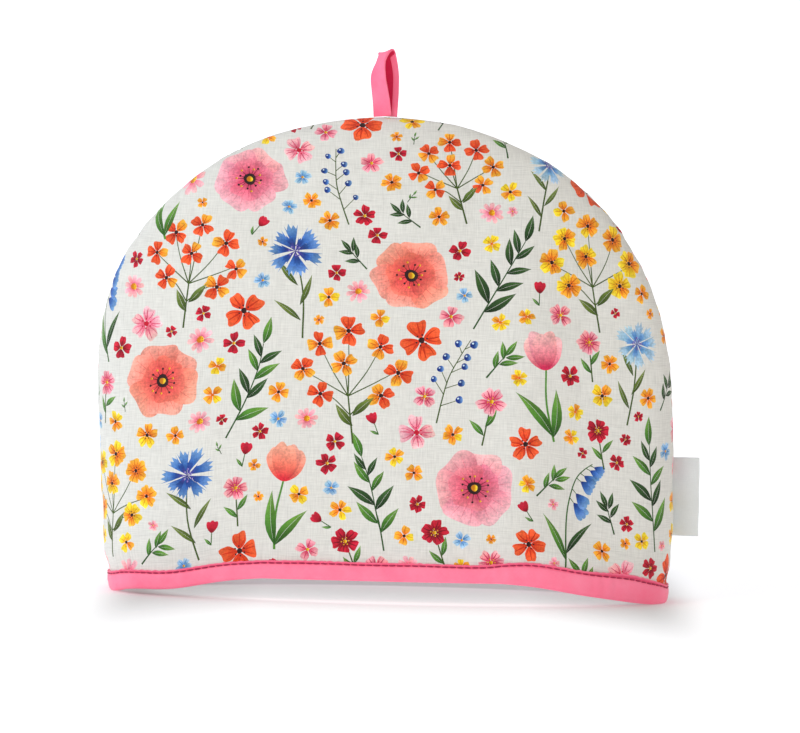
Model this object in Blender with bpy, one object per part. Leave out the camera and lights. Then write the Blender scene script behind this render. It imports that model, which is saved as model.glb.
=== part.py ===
"""Padded tea cosy: two half-round panels, a bound hem, a hanging loop and a side label.

Units are metres, +Z is up and +Y points to the back. The cosy stands open on its hem.
"""

import math

import bmesh
import bpy
import numpy as np
from mathutils import Vector

MM = 0.001

# --- driving dimensions -------------------------------------------------------------------

# Seam line of the dome seen from the front, from the left hem corner over the top to the
# right hem corner: (x, z) in millimetres. It is slightly uneven, as sewn cloth is.
SEAM_LINE_MM = (
    (-148.6, 0.0),
    (-151.6, 26.0),
    (-153.4, 54.0),
    (-155.4, 82.0),
    (-156.9, 110.0),
    (-156.2, 137.0),
    (-150.6, 164.0),
    (-138.6, 188.5),
    (-121.2, 209.8),
    (-99.4, 228.2),
    (-73.0, 243.2),
    (-40.5, 253.4),
    (-3.8, 258.0),
    (32.4, 254.2),
    (62.2, 244.2),
    (88.0, 230.6),
    (110.2, 212.4),
    (128.0, 190.4),
    (141.0, 165.4),
    (148.9, 138.0),
    (152.2, 110.0),
    (153.5, 82.0),
    (153.9, 54.0),
    (153.8, 26.0),
    (152.6, 0.0),
)
APEX_X = -3.8 * MM
DOME_HEIGHT = 258.0 * MM
RIDGE_START = 239.8 * MM
HEM_HALF_DEPTH = 60.0 * MM

PROFILE_RISE_POWER = 2.0
PROFILE_DEPTH_POWER = 1.7
SECTION_POWER_LEFT = 2.6
SECTION_POWER_RIGHT = 2.3
SECTION_POWER_TOP = 2.1

PADDING = 6.0 * MM
PADDING_TURN = 80.0 * MM
HEM_PRESS = 1.5 * MM
HEM_PRESS_FULL = 11.0 * MM
HEM_PRESS_GONE = 19.5 * MM
SEAM_PINCH = 2.0 * MM
SEAM_PINCH_WIDTH = 5.5 * MM
CLEARANCE = 0.3 * MM

HEM_RISE = 11.6 * MM
HEM_RISE_FULL = 0.42
HEM_RISE_GONE = 0.95
HEM_RISE_SOFTNESS = 0.5

BINDING_HEIGHT = 10.0 * MM
BINDING_CLOTH = 1.0 * MM
BINDING_BULGE = 0.3 * MM
HEM_SEAT = BINDING_CLOTH + CLEARANCE

LOOP_WIDTH = 9.6 * MM
LOOP_CLOTH = 1.5 * MM

LABEL_BOTTOM = 36.0 * MM
LABEL_TOP = 78.0 * MM
LABEL_REACH = 13.6 * MM
LABEL_CLOTH = 1.0 * MM
LABEL_BOW = 1.2 * MM

# Mesh density.
PANEL_COLUMNS = 38
PANEL_ROWS = 22
LOOP_STEPS = 34
CURVE_STEPS = 24

# Soft troughs (negative) and ridges (positive) in the panels, placed by hand. Columns:
# centre x, centre z, half-width, half-height, lean in degrees and height, in millimetres.
RELIEF_FRONT_MM = (
    (80.0, 105.0, 22.0, 120.0, 3.0, 2.4),
    (40.0, 226.0, 13.0, 34.0, -14.0, -2.2),
    (-62.0, 214.0, 20.0, 30.0, 20.0, -1.3),
    (-6.0, 40.0, 46.0, 34.0, 0.0, -1.6),
    (-104.0, 58.0, 26.0, 50.0, -6.0, 1.3),
    (112.0, 52.0, 18.0, 46.0, 8.0, -1.6),
    (14.0, 142.0, 60.0, 26.0, 12.0, 1.0),
    (-118.0, 150.0, 20.0, 40.0, -22.0, -1.1),
)
RELIEF_BACK_MM = (
    (-70.0, 110.0, 24.0, 110.0, -4.0, 2.0),
    (-30.0, 224.0, 14.0, 32.0, 12.0, -2.0),
    (60.0, 210.0, 18.0, 34.0, -18.0, -1.4),
    (10.0, 44.0, 50.0, 32.0, 0.0, -1.6),
    (108.0, 70.0, 22.0, 60.0, 6.0, -1.4),
)

# Middle line of the loop's tape from its front end over the top to its back end.
# Columns: x, y, height above the dome's top in millimetres, turn about the vertical
# and slant of the tape's width in degrees.
LOOP_LINE_MM = (
    (-7.9, -1.05, -0.5, 0.0, 0.0),
    (-8.3, -1.9, 6.0, -4.0, 0.0),
    (-9.8, -4.1, 15.0, -20.0, 2.0),
    (-10.2, -5.0, 22.5, -28.0, 8.0),
    (-8.8, -4.2, 30.0, -24.0, 16.0),
    (-7.0, 0.2, 34.8, -12.0, 20.0),
    (-5.4, 4.0, 29.6, -2.0, 14.0),
    (-4.2, 4.8, 21.5, 4.0, 6.0),
    (-4.0, 3.9, 14.0, 4.0, 2.0),
    (-4.3, 1.9, 6.0, 2.0, 0.0),
    (-4.5, 1.05, -0.5, 0.0, 0.0),
)

FRONT = -1.0
BACK = 1.0

COLOURS = {
    "panel_front": (0.80, 0.79, 0.75),
    "panel_back": (0.79, 0.78, 0.74),
    "hem_binding": (0.90, 0.20, 0.32),
    "hanging_loop": (0.90, 0.22, 0.34),
    "side_label": (0.80, 0.81, 0.79),
}
ROUGHNESS = {
    "panel_front": 0.9,
    "panel_back": 0.9,
    "hem_binding": 0.8,
    "hanging_loop": 0.8,
    "side_label": 0.7,
}


# --- curves and sections ------------------------------------------------------------------


def smooth_curve(points, steps):
    """A Catmull-Rom curve through the rows of points, with steps samples in each span."""
    rows = np.array(points, float)
    padded = np.vstack([2 * rows[0] - rows[1], rows, 2 * rows[-1] - rows[-2]])
    samples = []
    for start in range(len(rows) - 1):
        before, here, there, after = padded[start : start + 4]
        for t in np.arange(steps) / steps:
            samples.append(
                0.5
                * (
                    2 * here
                    + (there - before) * t
                    + (2 * before - 5 * here + 4 * there - after) * t**2
                    + (3 * here - before - 3 * there + after) * t**3
                )
            )
    samples.append(rows[-1])
    return np.array(samples)


SEAM_LINE = smooth_curve(SEAM_LINE_MM, CURVE_STEPS) * MM
APEX_INDEX = int(np.argmax(SEAM_LINE[:, 1]))
LEFT_SEAM = SEAM_LINE[: APEX_INDEX + 1]
RIGHT_SEAM = SEAM_LINE[APEX_INDEX:][::-1]


def smooth_step(t):
    t = np.clip(t, 0.0, 1.0)
    return t * t * (3 - 2 * t)


def seam_x(z):
    """The seam's x on the left and on the right at height z."""
    left = np.interp(z, LEFT_SEAM[:, 1], LEFT_SEAM[:, 0])
    right = np.interp(z, RIGHT_SEAM[:, 1], RIGHT_SEAM[:, 0])
    return left, right


def ridge_height(x):
    """Height of the seam over the top of the dome at x."""
    return np.interp(x, SEAM_LINE[:, 0], SEAM_LINE[:, 1])


def half_width(x, z):
    """Width from the dome's middle to the seam at height z, on the side where x lies."""
    left, right = seam_x(z)
    return np.maximum(np.where(x < APEX_X, APEX_X - left, right - APEX_X), 1e-6)


def section_power(x, z):
    """Squareness of a level section: fuller at the hem, rounder near the top."""
    low = np.where(x < APEX_X, SECTION_POWER_LEFT, SECTION_POWER_RIGHT)
    return low + (SECTION_POWER_TOP - low) * smooth_step(z / DOME_HEIGHT)


def middle_depth(z):
    """Distance of the panel's middle from the seam's plane at height z."""
    level = np.clip(z / DOME_HEIGHT, 0.0, 1.0)
    shape = (1 - level**PROFILE_RISE_POWER) ** (1 / PROFILE_DEPTH_POWER)
    return HEM_HALF_DEPTH * shape


def depth(x, z):
    """Distance of the outer face from the seam's plane at (x, z), seen from the front."""
    power = section_power(x, z)
    share = np.clip(np.abs(x - APEX_X) / half_width(x, z), 0.0, 1.0)
    return middle_depth(z) * (1 - share**power) ** (1 / power)


# --- what bends the plain dome ------------------------------------------------------------


def level_normal(x, z, side):
    """Outward normal of the dome's level section, as two arrays (x part, y part)."""
    width = half_width(x, z)
    far = np.maximum(middle_depth(z), 1e-4)
    power = section_power(x, z) - 1
    normal_x = np.sign(x - APEX_X) * np.clip(np.abs(x - APEX_X) / width, 0.0, 1.0) ** power / width
    normal_y = side * np.clip(depth(x, z) / far, 0.0, 1.0) ** power / far
    size = np.maximum(np.hypot(normal_x, normal_y), 1e-9)
    return normal_x / size, normal_y / size


def relief(x, z, side):
    """Height of the soft troughs and ridges at (x, z)."""
    rows = RELIEF_FRONT_MM if side == FRONT else RELIEF_BACK_MM
    total = np.zeros_like(x)
    for centre_x, centre_z, wide, tall, lean, height in rows:
        lean = math.radians(lean)
        across = x - centre_x * MM
        up = z - centre_z * MM
        u = (across * math.cos(lean) - up * math.sin(lean)) / (wide * MM)
        v = (across * math.sin(lean) + up * math.cos(lean)) / (tall * MM)
        total += height * MM * np.exp(-(u**2) - v**2)
    hem_fade = smooth_step((z - BINDING_HEIGHT) / (2 * BINDING_HEIGHT))
    seam_fade = smooth_step(depth(x, z) / (3 * SEAM_PINCH_WIDTH))
    return total * hem_fade * seam_fade


def hem_rise(x):
    """How far the hem lifts off the surface at x: an arch between two flat ends."""
    share = np.abs(x - APEX_X) / half_width(x, np.zeros_like(x))
    t = np.clip((HEM_RISE_GONE - share) / (HEM_RISE_GONE - HEM_RISE_FULL), 0.0, 1.0)
    return HEM_RISE * (t - HEM_RISE_SOFTNESS * np.sin(2 * math.pi * t) / (2 * math.pi))


def lift(x, z, at_hem):
    """Height of a point of the plain dome, once the hem has its arch and its binding."""
    fade = 1 - np.clip(z / DOME_HEIGHT, 0.0, 1.0)
    return z + (hem_rise(x) + at_hem) * fade


def hem_press(z):
    """How far each face is pressed in under the binding."""
    return HEM_PRESS * (1 - smooth_step((z - HEM_PRESS_FULL) / (HEM_PRESS_GONE - HEM_PRESS_FULL)))


def pinch(x, y, z):
    """Moves points close to the seam inwards, so that the two panels meet in a groove."""
    pull = SEAM_PINCH * np.clip(1 - np.abs(y) / SEAM_PINCH_WIDTH, 0.0, 1.0) ** 2
    inward_x = APEX_X - x
    inward_z = -np.maximum(z - DOME_HEIGHT / 2, 0.0) * 1.2
    size = np.maximum(np.hypot(inward_x, inward_z), 1e-6)
    return x + pull * inward_x / size, z + pull * inward_z / size


def outer_face(x, z, side):
    """Points of a panel's outer face over (x, z) in the seam's plane."""
    y = side * depth(x, z)
    normal_x, normal_y = level_normal(x, z, side)
    push = relief(x, z, side) - hem_press(z)
    bent_y = side * np.maximum(side * (y + push * normal_y), CLEARANCE / 2)
    bent_x, bent_z = pinch(x + push * normal_x, bent_y, z)
    return np.stack([bent_x, bent_y, lift(x, bent_z, HEM_SEAT)], axis=-1)


def inner_face(x, z, side):
    """Points of a panel's inner face, one padding's thickness inside the outer face."""
    y = side * depth(x, z)
    normal_x, normal_y = level_normal(x, z, side)
    push = relief(x, z, side) + hem_press(z)
    high = smooth_step(z / PADDING_TURN)
    width = half_width(x, np.zeros_like(x))
    in_x = (1 - high) * PADDING * normal_x + high * PADDING * (x - APEX_X) / width
    in_y = (1 - high) * PADDING * normal_y + high * PADDING * y / HEM_HALF_DEPTH
    inner_x = x - in_x + push * normal_x
    inner_y = y - in_y + push * normal_y
    inner_y = side * np.maximum(side * inner_y, CLEARANCE / 2)
    inner_z = lift(x, z * (1 - PADDING / DOME_HEIGHT), HEM_SEAT)
    return np.stack([inner_x, inner_y, inner_z], axis=-1)


# --- meshes -------------------------------------------------------------------------------


def crowded_ends(u):
    """Spreads -1 to 1 over the angles of a section, closer together at the seams."""
    return np.sign(u) * (1 - (1 - np.abs(u)) ** 1.5)


def row_level(v):
    """Level of a row of a panel's grid, from 0 at the hem to 1 at the top.

    The first two rows stand where the binding's grip ends and where the padding is full.
    """
    row = v * PANEL_ROWS
    start = math.asin(HEM_PRESS_GONE / DOME_HEIGHT)
    turn = start + (math.pi / 2 - start) * (row - 2) / (PANEL_ROWS - 2)
    low = np.interp(row, (0, 1, 2), (0.0, HEM_PRESS_FULL, HEM_PRESS_GONE)) / DOME_HEIGHT
    return np.where(row < 2, low, np.sin(turn))


def panel_grid_points(u, v):
    """(x, z) in the seam's plane for a grid: u runs along the hem and v up the panel."""
    across = np.sin(crowded_ends(u) * math.pi / 2)
    up = row_level(v)
    left_top, right_top = seam_x(np.array(RIDGE_START))
    ridge_x = APEX_X + np.where(across < 0, APEX_X - left_top, right_top - APEX_X) * across
    z = up * ridge_height(ridge_x)
    left, right = seam_x(up * RIDGE_START)
    x = APEX_X + np.where(across < 0, APEX_X - left, right - APEX_X) * across
    return x, z


def shaped_grid(mesh, columns, rows, shape):
    """Adds a grid to the bmesh with each vertex moved to shape(u, v), u and v from 0 to 1."""
    made = bmesh.ops.create_grid(mesh, x_segments=columns, y_segments=rows, size=1.0)
    verts = made["verts"]
    u = np.array([0.5 + 0.5 * vert.co.x for vert in verts])
    v = np.array([0.5 + 0.5 * vert.co.y for vert in verts])
    for vert, place in zip(verts, shape(u, v)):
        vert.co = place
    return verts


def boundary_edges(verts):
    edges = {edge for vert in verts for edge in vert.link_edges}
    return [edge for edge in edges if edge.is_boundary]


def add_object(name, mesh_data, collection):
    """Turns a bmesh into a named, smooth-shaded object with its own material."""
    bmesh.ops.recalc_face_normals(mesh_data, faces=mesh_data.faces[:])
    mesh = bpy.data.meshes.new(name)
    mesh_data.to_mesh(mesh)
    mesh_data.free()
    mesh.shade_smooth()
    mesh.set_sharp_from_angle(angle=math.radians(50))
    mesh.materials.append(cloth_material(name))
    thing = bpy.data.objects.new(name, mesh)
    collection.objects.link(thing)
    return thing


def cloth_material(name):
    material = bpy.data.materials.new(name)
    material.use_nodes = True
    shader = material.node_tree.nodes["Principled BSDF"]
    shader.inputs["Base Color"].default_value = (*COLOURS[name], 1.0)
    shader.inputs["Roughness"].default_value = ROUGHNESS[name]
    shader.inputs["Metallic"].default_value = 0.0
    return material


def add_panel(name, side, collection):
    """A padded half-round shell: two shaped grids whose edges are bridged."""
    mesh = bmesh.new()

    def outside(u, v):
        return outer_face(*panel_grid_points(2 * u - 1, v), side)

    def inside(u, v):
        return inner_face(*panel_grid_points(2 * u - 1, v), side)

    outer = shaped_grid(mesh, PANEL_COLUMNS, PANEL_ROWS, outside)
    inner = shaped_grid(mesh, PANEL_COLUMNS, PANEL_ROWS, inside)
    rim = boundary_edges(outer) + boundary_edges(inner)
    bmesh.ops.bridge_loops(mesh, edges=rim)
    return add_object(name, mesh, collection)


def hem_line(turn, offset, level):
    """The hem's middle line at a level, moved outwards by offset; turn runs 0 to 4 around.

    Returns x before the move, x and y.
    """
    side = np.where(turn < 2, FRONT, BACK)
    across = np.where(turn < 2, turn - 1, 3 - turn)
    left, right = seam_x(level)
    reach = np.where(across < 0, APEX_X - left, right - APEX_X)
    x = APEX_X + np.sin(crowded_ends(across) * math.pi / 2) * reach
    y = side * depth(x, level)
    normal_x, normal_y = level_normal(x, level, side)
    outward = offset - PADDING / 2
    return x, x + outward * normal_x, y + outward * normal_y


def binding_section():
    """Half-round-bottomed U around the hem: (offset from the middle, height) in metres."""
    inside = PADDING / 2 - HEM_PRESS + CLEARANCE
    outside = inside + BINDING_CLOTH
    bulge = outside + BINDING_BULGE
    outer = [
        (inside, BINDING_HEIGHT),
        (outside, BINDING_HEIGHT),
        (bulge, 0.55 * BINDING_HEIGHT),
        (outside, 0.2 * BINDING_HEIGHT),
        (0.86 * outside, 0.07 * BINDING_HEIGHT),
        (0.62 * outside, 0.0),
    ]
    inner = [(-offset, height) for offset, height in reversed(outer)]
    bottom = [(-inside, BINDING_CLOTH), (inside, BINDING_CLOTH)]
    return outer + inner + bottom


def add_binding(collection):
    """The bias binding: a U section carried once round the hem and welded to itself."""
    section = np.array(binding_section())
    mesh = bmesh.new()

    def shape(u, v):
        corner = np.rint(v * len(section)).astype(int) % len(section)
        offset, height = section[corner].T
        level = np.maximum(height - HEM_SEAT, 0.0)
        plain_x, x, y = hem_line(4 * u % 4, offset, level)
        return np.stack([x, y, lift(plain_x, height, 0.0)], axis=-1)

    shaped_grid(mesh, 2 * PANEL_COLUMNS, len(section), shape)
    bmesh.ops.remove_doubles(mesh, verts=mesh.verts[:], dist=1e-6)
    return add_object("hem_binding", mesh, collection)


def loop_frame(t):
    """Middle of the tape, its width's direction and its thickness' direction at t."""
    line = smooth_curve(LOOP_LINE_MM, CURVE_STEPS)
    place = t * (len(line) - 1)
    row = np.array([np.interp(place, np.arange(len(line)), line[:, k]) for k in range(5)])
    step = np.array([np.interp(place + 1, np.arange(len(line)), line[:, k]) for k in range(3)])
    back = np.array([np.interp(place - 1, np.arange(len(line)), line[:, k]) for k in range(3)])
    middle = Vector(row[:3]) * MM + Vector((0.0, 0.0, DOME_HEIGHT))
    turn, slant = np.radians(row[3:5])
    width = Vector((math.cos(turn), math.sin(turn), math.sin(slant))).normalized()
    along = Vector(step - back).normalized()
    thick = along.cross(width).normalized()
    width = thick.cross(along).normalized()
    return middle, width, thick


def add_loop(collection):
    """The hanging loop: a flat tape with soft edges, bent over and down again."""
    half_wide = LOOP_WIDTH / 2
    half_thick = LOOP_CLOTH / 2
    soft = 0.6 * half_thick
    section = (
        (-half_wide + soft, -half_thick),
        (0.0, -half_thick),
        (half_wide - soft, -half_thick),
        (half_wide, 0.0),
        (half_wide - soft, half_thick),
        (0.0, half_thick),
        (-half_wide + soft, half_thick),
        (-half_wide, 0.0),
    )
    mesh = bmesh.new()

    def shape(u, v):
        places = []
        for t, corner in zip(u, np.rint(v * len(section)).astype(int) % len(section)):
            middle, width, thick = loop_frame(t)
            across, through = section[corner]
            places.append(middle + width * across + thick * through)
        return places

    shaped_grid(mesh, LOOP_STEPS, len(section), shape)
    bmesh.ops.remove_doubles(mesh, verts=mesh.verts[:], dist=1e-6)
    bmesh.ops.holes_fill(mesh, edges=[edge for edge in mesh.edges if edge.is_boundary])
    return add_object("hanging_loop", mesh, collection)


def add_label(collection):
    """The folded side label: a thin slab in the seam's groove, softly bowed."""
    mesh = bmesh.new()
    bmesh.ops.create_cube(mesh, size=1.0)
    bmesh.ops.subdivide_edges(mesh, edges=mesh.edges[:], cuts=3, use_grid_fill=True)
    start = SEAM_PINCH - 2 * CLEARANCE
    for vert in mesh.verts:
        reach = vert.co.x + 0.5
        z = LABEL_BOTTOM + (vert.co.z + 0.5) * (LABEL_TOP - LABEL_BOTTOM)
        seam = float(seam_x(z)[1])
        thin = 1.0 if reach < 1.0 else 0.6
        bow = LABEL_BOW * reach**2 * math.cos(2 * vert.co.z)
        x = seam - start + reach * (LABEL_REACH + start)
        vert.co = (x, vert.co.y * thin * LABEL_CLOTH - bow, z)
    return add_object("side_label", mesh, collection)


def stand_on_centre(things):
    """Moves all pieces sideways so that the origin is under the middle of their box."""
    corners = np.array([vert.co for thing in things for vert in thing.data.vertices])
    middle = (corners.min(axis=0) + corners.max(axis=0)) / 2
    for thing in things:
        thing.location = (-middle[0], -middle[1], 0.0)


def main():
    for thing in list(bpy.data.objects):
        bpy.data.objects.remove(thing, do_unlink=True)
    collection = bpy.data.collections.new("tea_cosy")
    bpy.context.scene.collection.children.link(collection)
    things = [
        add_panel("panel_front", FRONT, collection),
        add_panel("panel_back", BACK, collection),
        add_binding(collection),
        add_loop(collection),
        add_label(collection),
    ]
    stand_on_centre(things)


main()
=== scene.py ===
"""Looks of a padded tea cosy: printed panels, bound hem, hanging loop and blank side label.

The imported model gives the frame. Every piece here follows the same dome as its solids.
Lengths are in metres unless a name ends in _MM, +Z is up and the front panel faces -Y.
"""

import math

import bmesh
import bpy
import numpy as np
from mathutils import Matrix, Vector
from mathutils.geometry import delaunay_2d_cdt


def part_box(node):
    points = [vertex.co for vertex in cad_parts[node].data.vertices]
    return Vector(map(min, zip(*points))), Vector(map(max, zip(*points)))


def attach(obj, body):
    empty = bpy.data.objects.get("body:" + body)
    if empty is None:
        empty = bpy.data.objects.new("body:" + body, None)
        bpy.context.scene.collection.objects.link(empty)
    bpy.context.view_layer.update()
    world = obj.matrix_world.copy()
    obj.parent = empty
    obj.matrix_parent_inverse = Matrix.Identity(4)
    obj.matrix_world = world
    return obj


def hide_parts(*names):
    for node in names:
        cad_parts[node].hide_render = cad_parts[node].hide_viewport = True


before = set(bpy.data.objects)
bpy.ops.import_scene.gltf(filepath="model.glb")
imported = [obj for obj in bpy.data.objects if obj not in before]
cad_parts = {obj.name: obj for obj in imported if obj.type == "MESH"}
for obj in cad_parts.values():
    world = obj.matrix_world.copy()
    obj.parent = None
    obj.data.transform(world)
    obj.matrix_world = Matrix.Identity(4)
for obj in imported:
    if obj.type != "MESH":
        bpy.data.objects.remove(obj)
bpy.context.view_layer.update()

MM = 0.001
FRONT = -1.0
BACK = 1.0
FULL_TURN = 2 * math.pi

# --- the dome, as in the part's source ------------------------------------------------------

SEAM_LINE_MM = (
    (-148.6, 0.0), (-151.6, 26.0), (-153.4, 54.0), (-155.4, 82.0), (-156.9, 110.0),
    (-156.2, 137.0), (-150.6, 164.0), (-138.6, 188.5), (-121.2, 209.8), (-99.4, 228.2),
    (-73.0, 243.2), (-40.5, 253.4), (-3.8, 258.0), (32.4, 254.2), (62.2, 244.2),
    (88.0, 230.6), (110.2, 212.4), (128.0, 190.4), (141.0, 165.4), (148.9, 138.0),
    (152.2, 110.0), (153.5, 82.0), (153.9, 54.0), (153.8, 26.0), (152.6, 0.0),
)
CURVE_STEPS = 24
APEX_X = -3.8 * MM
DOME_HEIGHT = 258.0 * MM
HEM_HALF_DEPTH = 60.0 * MM
PROFILE_RISE_POWER = 2.0
PROFILE_DEPTH_POWER = 1.7
SECTION_POWER_LEFT = 2.6
SECTION_POWER_RIGHT = 2.3
SECTION_POWER_TOP = 2.1
PADDING = 6.0 * MM
PADDING_TURN = 80.0 * MM
HEM_PRESS = 1.5 * MM
HEM_PRESS_FULL = 11.0 * MM
HEM_PRESS_GONE = 19.5 * MM
SEAM_PINCH = 2.0 * MM
SEAM_PINCH_WIDTH = 5.5 * MM
PINCH_DOWN = 1.2
CLEARANCE = 0.3 * MM
HEM_RISE = 11.6 * MM
HEM_RISE_FULL = 0.42
HEM_RISE_GONE = 0.95
HEM_RISE_SOFTNESS = 0.5
HEM_SEAT = 1.3 * MM
# More rise of the front hem near its corners: height and place; then the width of both.
FRONT_RISES = ((2.1 * MM, -134.0 * MM), (1.0 * MM, 122.0 * MM))
FRONT_RISE_WIDTH = 17.0 * MM
FRONT_RISE_EDGE = 8 * MM
BINDING_HEIGHT = 10.0 * MM

# Soft troughs (negative) and ridges (positive): centre x, centre z, half-width,
# half-height, lean in degrees and height, in millimetres.
RELIEF_MM = {
    FRONT: (
        (80.0, 105.0, 22.0, 120.0, 3.0, 2.4),
        (40.0, 226.0, 13.0, 34.0, -14.0, -2.2),
        (-62.0, 214.0, 20.0, 30.0, 20.0, -1.3),
        (-6.0, 40.0, 46.0, 34.0, 0.0, -1.6),
        (-104.0, 58.0, 26.0, 50.0, -6.0, 1.3),
        (112.0, 52.0, 18.0, 46.0, 8.0, -1.6),
        (14.0, 142.0, 60.0, 26.0, 12.0, 1.0),
        (-118.0, 150.0, 20.0, 40.0, -22.0, -1.1),
    ),
    BACK: (
        (-70.0, 110.0, 24.0, 110.0, -4.0, 2.0),
        (-30.0, 224.0, 14.0, 32.0, 12.0, -2.0),
        (60.0, 210.0, 18.0, 34.0, -18.0, -1.4),
        (10.0, 44.0, 50.0, 32.0, 0.0, -1.6),
        (108.0, 70.0, 22.0, 60.0, 6.0, -1.4),
    ),
}

# The front panel's left edge in the design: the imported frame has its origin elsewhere.
PANEL_LEFT_EDGE = -156.76 * MM
SHIFT_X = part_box("panel_front")[0][0] - PANEL_LEFT_EDGE
TINY = 1e-9


def smooth_curve(points, steps):
    """A Catmull-Rom curve through the rows of points, with steps samples in each span."""
    rows = np.array(points, float)
    padded = np.vstack([2 * rows[0] - rows[1], rows, 2 * rows[-1] - rows[-2]])
    samples = []
    for before, here, there, after in zip(padded, padded[1:], padded[2:], padded[3:]):
        bend = 2 * before - 5 * here + 4 * there - after
        twist = 3 * here - before - 3 * there + after
        for t in np.arange(steps) / steps:
            samples.append(0.5 * (2 * here + (there - before) * t + bend * t**2 + twist * t**3))
    samples.append(rows[-1])
    return np.array(samples)


SEAM_LINE = smooth_curve(SEAM_LINE_MM, CURVE_STEPS) * MM
APEX_INDEX = int(np.argmax(SEAM_LINE[:, 1]))
LEFT_SEAM = SEAM_LINE[: APEX_INDEX + 1]
RIGHT_SEAM = SEAM_LINE[APEX_INDEX:][::-1]


def smooth_step(t):
    t = np.clip(t, 0.0, 1.0)
    return t * t * (3 - 2 * t)


def hump(x, centre, width, power=2):
    """A soft bump of height 1 around the centre."""
    return np.exp(-(((x - centre) / width) ** power))


def seam_x(z):
    return [np.interp(z, seam[:, 1], seam[:, 0]) for seam in (LEFT_SEAM, RIGHT_SEAM)]


def side_width(z, right):
    """Width from the dome's middle to the seam at height z, on the right or the left."""
    left_x, right_x = seam_x(z)
    return np.maximum(np.where(right, right_x - APEX_X, APEX_X - left_x), 1e-6)


def middle_depth(z):
    level = np.clip(z / DOME_HEIGHT, 0.0, 1.0)
    return HEM_HALF_DEPTH * (1 - level**PROFILE_RISE_POWER) ** (1 / PROFILE_DEPTH_POWER)


def section_point(z, turn, right):
    """A point of the level section at z: turn is 0 at the middle and 90 degrees at the seam.

    Returns x, y (as a depth) and the level normal's x and y parts.
    """
    width = side_width(z, right)
    far = middle_depth(z)
    low = np.where(right, SECTION_POWER_RIGHT, SECTION_POWER_LEFT)
    power = low + (SECTION_POWER_TOP - low) * smooth_step(z / DOME_HEIGHT)
    across = np.sin(turn) ** (2 / power)
    away = np.cos(turn) ** (2 / power)
    sign = np.where(right, 1.0, -1.0)
    normal_x = across ** (power - 1) / width
    normal_y = away ** (power - 1) / np.maximum(far, 0.1 * MM)
    size = np.maximum(np.hypot(normal_x, normal_y), TINY)
    return APEX_X + sign * width * across, far * away, sign * normal_x / size, normal_y / size


def relief(x, y, z, side):
    total = np.zeros_like(x)
    for centre_x, centre_z, wide, tall, lean, height in RELIEF_MM[side]:
        lean = math.radians(lean)
        across = x - centre_x * MM
        up = z - centre_z * MM
        u = (across * math.cos(lean) - up * math.sin(lean)) / (wide * MM)
        v = (across * math.sin(lean) + up * math.cos(lean)) / (tall * MM)
        total += height * MM * np.exp(-(u**2) - v**2)
    hem_fade = smooth_step((z - BINDING_HEIGHT) / (2 * BINDING_HEIGHT))
    return total * hem_fade * smooth_step(np.abs(y) / (3 * SEAM_PINCH_WIDTH))


def hem_rise(x):
    width = side_width(np.zeros_like(x), x >= APEX_X)
    t = (HEM_RISE_GONE - np.abs(x - APEX_X) / width) / (HEM_RISE_GONE - HEM_RISE_FULL)
    t = np.clip(t, 0.0, 1.0)
    return HEM_RISE * (t - HEM_RISE_SOFTNESS * np.sin(FULL_TURN * t) / FULL_TURN)


def front_rise(x):
    """How much more the front hem stands up near its two corners than the back one."""
    rise = sum(height * hump(x, place, FRONT_RISE_WIDTH) for height, place in FRONT_RISES)
    low, high = seam_x(0.0)
    return rise * smooth_step(np.minimum(x - low, high - x) / FRONT_RISE_EDGE)


def lift(x, z, at_hem, side):
    """Raises the hem's arch, and less of it the higher the cloth is."""
    fade = 1 - np.clip(z / DOME_HEIGHT, 0.0, 1.0)
    more = np.where(side == FRONT, front_rise(x), 0.0) * fade**2
    return z + (hem_rise(x) + at_hem) * fade + more


def hem_press(z):
    return HEM_PRESS * (1 - smooth_step((z - HEM_PRESS_FULL) / (HEM_PRESS_GONE - HEM_PRESS_FULL)))


def pinch(x, y, z):
    pull = SEAM_PINCH * np.clip(1 - np.abs(y) / SEAM_PINCH_WIDTH, 0.0, 1.0) ** 2
    inward_x = APEX_X - x
    inward_z = -np.maximum(z - DOME_HEIGHT / 2, 0.0) * PINCH_DOWN
    size = np.maximum(np.hypot(inward_x, inward_z), 1e-6)
    return x + pull * inward_x / size, z + pull * inward_z / size


# --- flat cloth laid on the dome ------------------------------------------------------------

LEVEL_COUNT = 261
TURN_COUNT = 181


def run_of(x, y):
    """Length along a line of points, from 0."""
    return np.concatenate([[0.0], np.cumsum(np.hypot(np.diff(x), np.diff(y)))])


def dome_tables():
    """Arc lengths that lay a flat panel on the dome: up its middle and along each level."""
    levels = DOME_HEIGHT * np.sin(np.linspace(0, math.pi / 2, LEVEL_COUNT))
    turns = np.linspace(0, math.pi / 2, TURN_COUNT)
    reach, turn_at = [], []
    for right in (False, True):
        lengths, angles = [], []
        for z in levels:
            x, y, _, _ = section_point(np.full(TURN_COUNT, z), turns, np.full(TURN_COUNT, right))
            run = run_of(x, y)
            lengths.append(run[-1])
            share = run / max(run[-1], TINY)
            angles.append(np.interp(np.linspace(0, 1, TURN_COUNT), share, turns))
        reach.append(np.array(lengths))
        turn_at.append(np.array(angles))
    return levels, run_of(levels, middle_depth(levels)), reach, turn_at


LEVELS, UP, REACH, TURN_AT = dome_tables()
CLOTH_HEIGHT = float(UP[-1])
CLOTH_LEFT = float(REACH[0].max())
CLOTH_RIGHT = float(REACH[1].max())


def blend_table(table, row, column):
    """A table's values between its rows and columns."""
    row = np.clip(row, 0, table.shape[0] - 1.000001)
    column = np.clip(column, 0, table.shape[1] - 1.000001)
    i, j = row.astype(int), column.astype(int)
    a, b = row - i, column - j
    low = table[i, j] * (1 - b) + table[i, j + 1] * b
    high = table[i + 1, j] * (1 - b) + table[i + 1, j + 1] * b
    return low * (1 - a) + high * a


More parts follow.
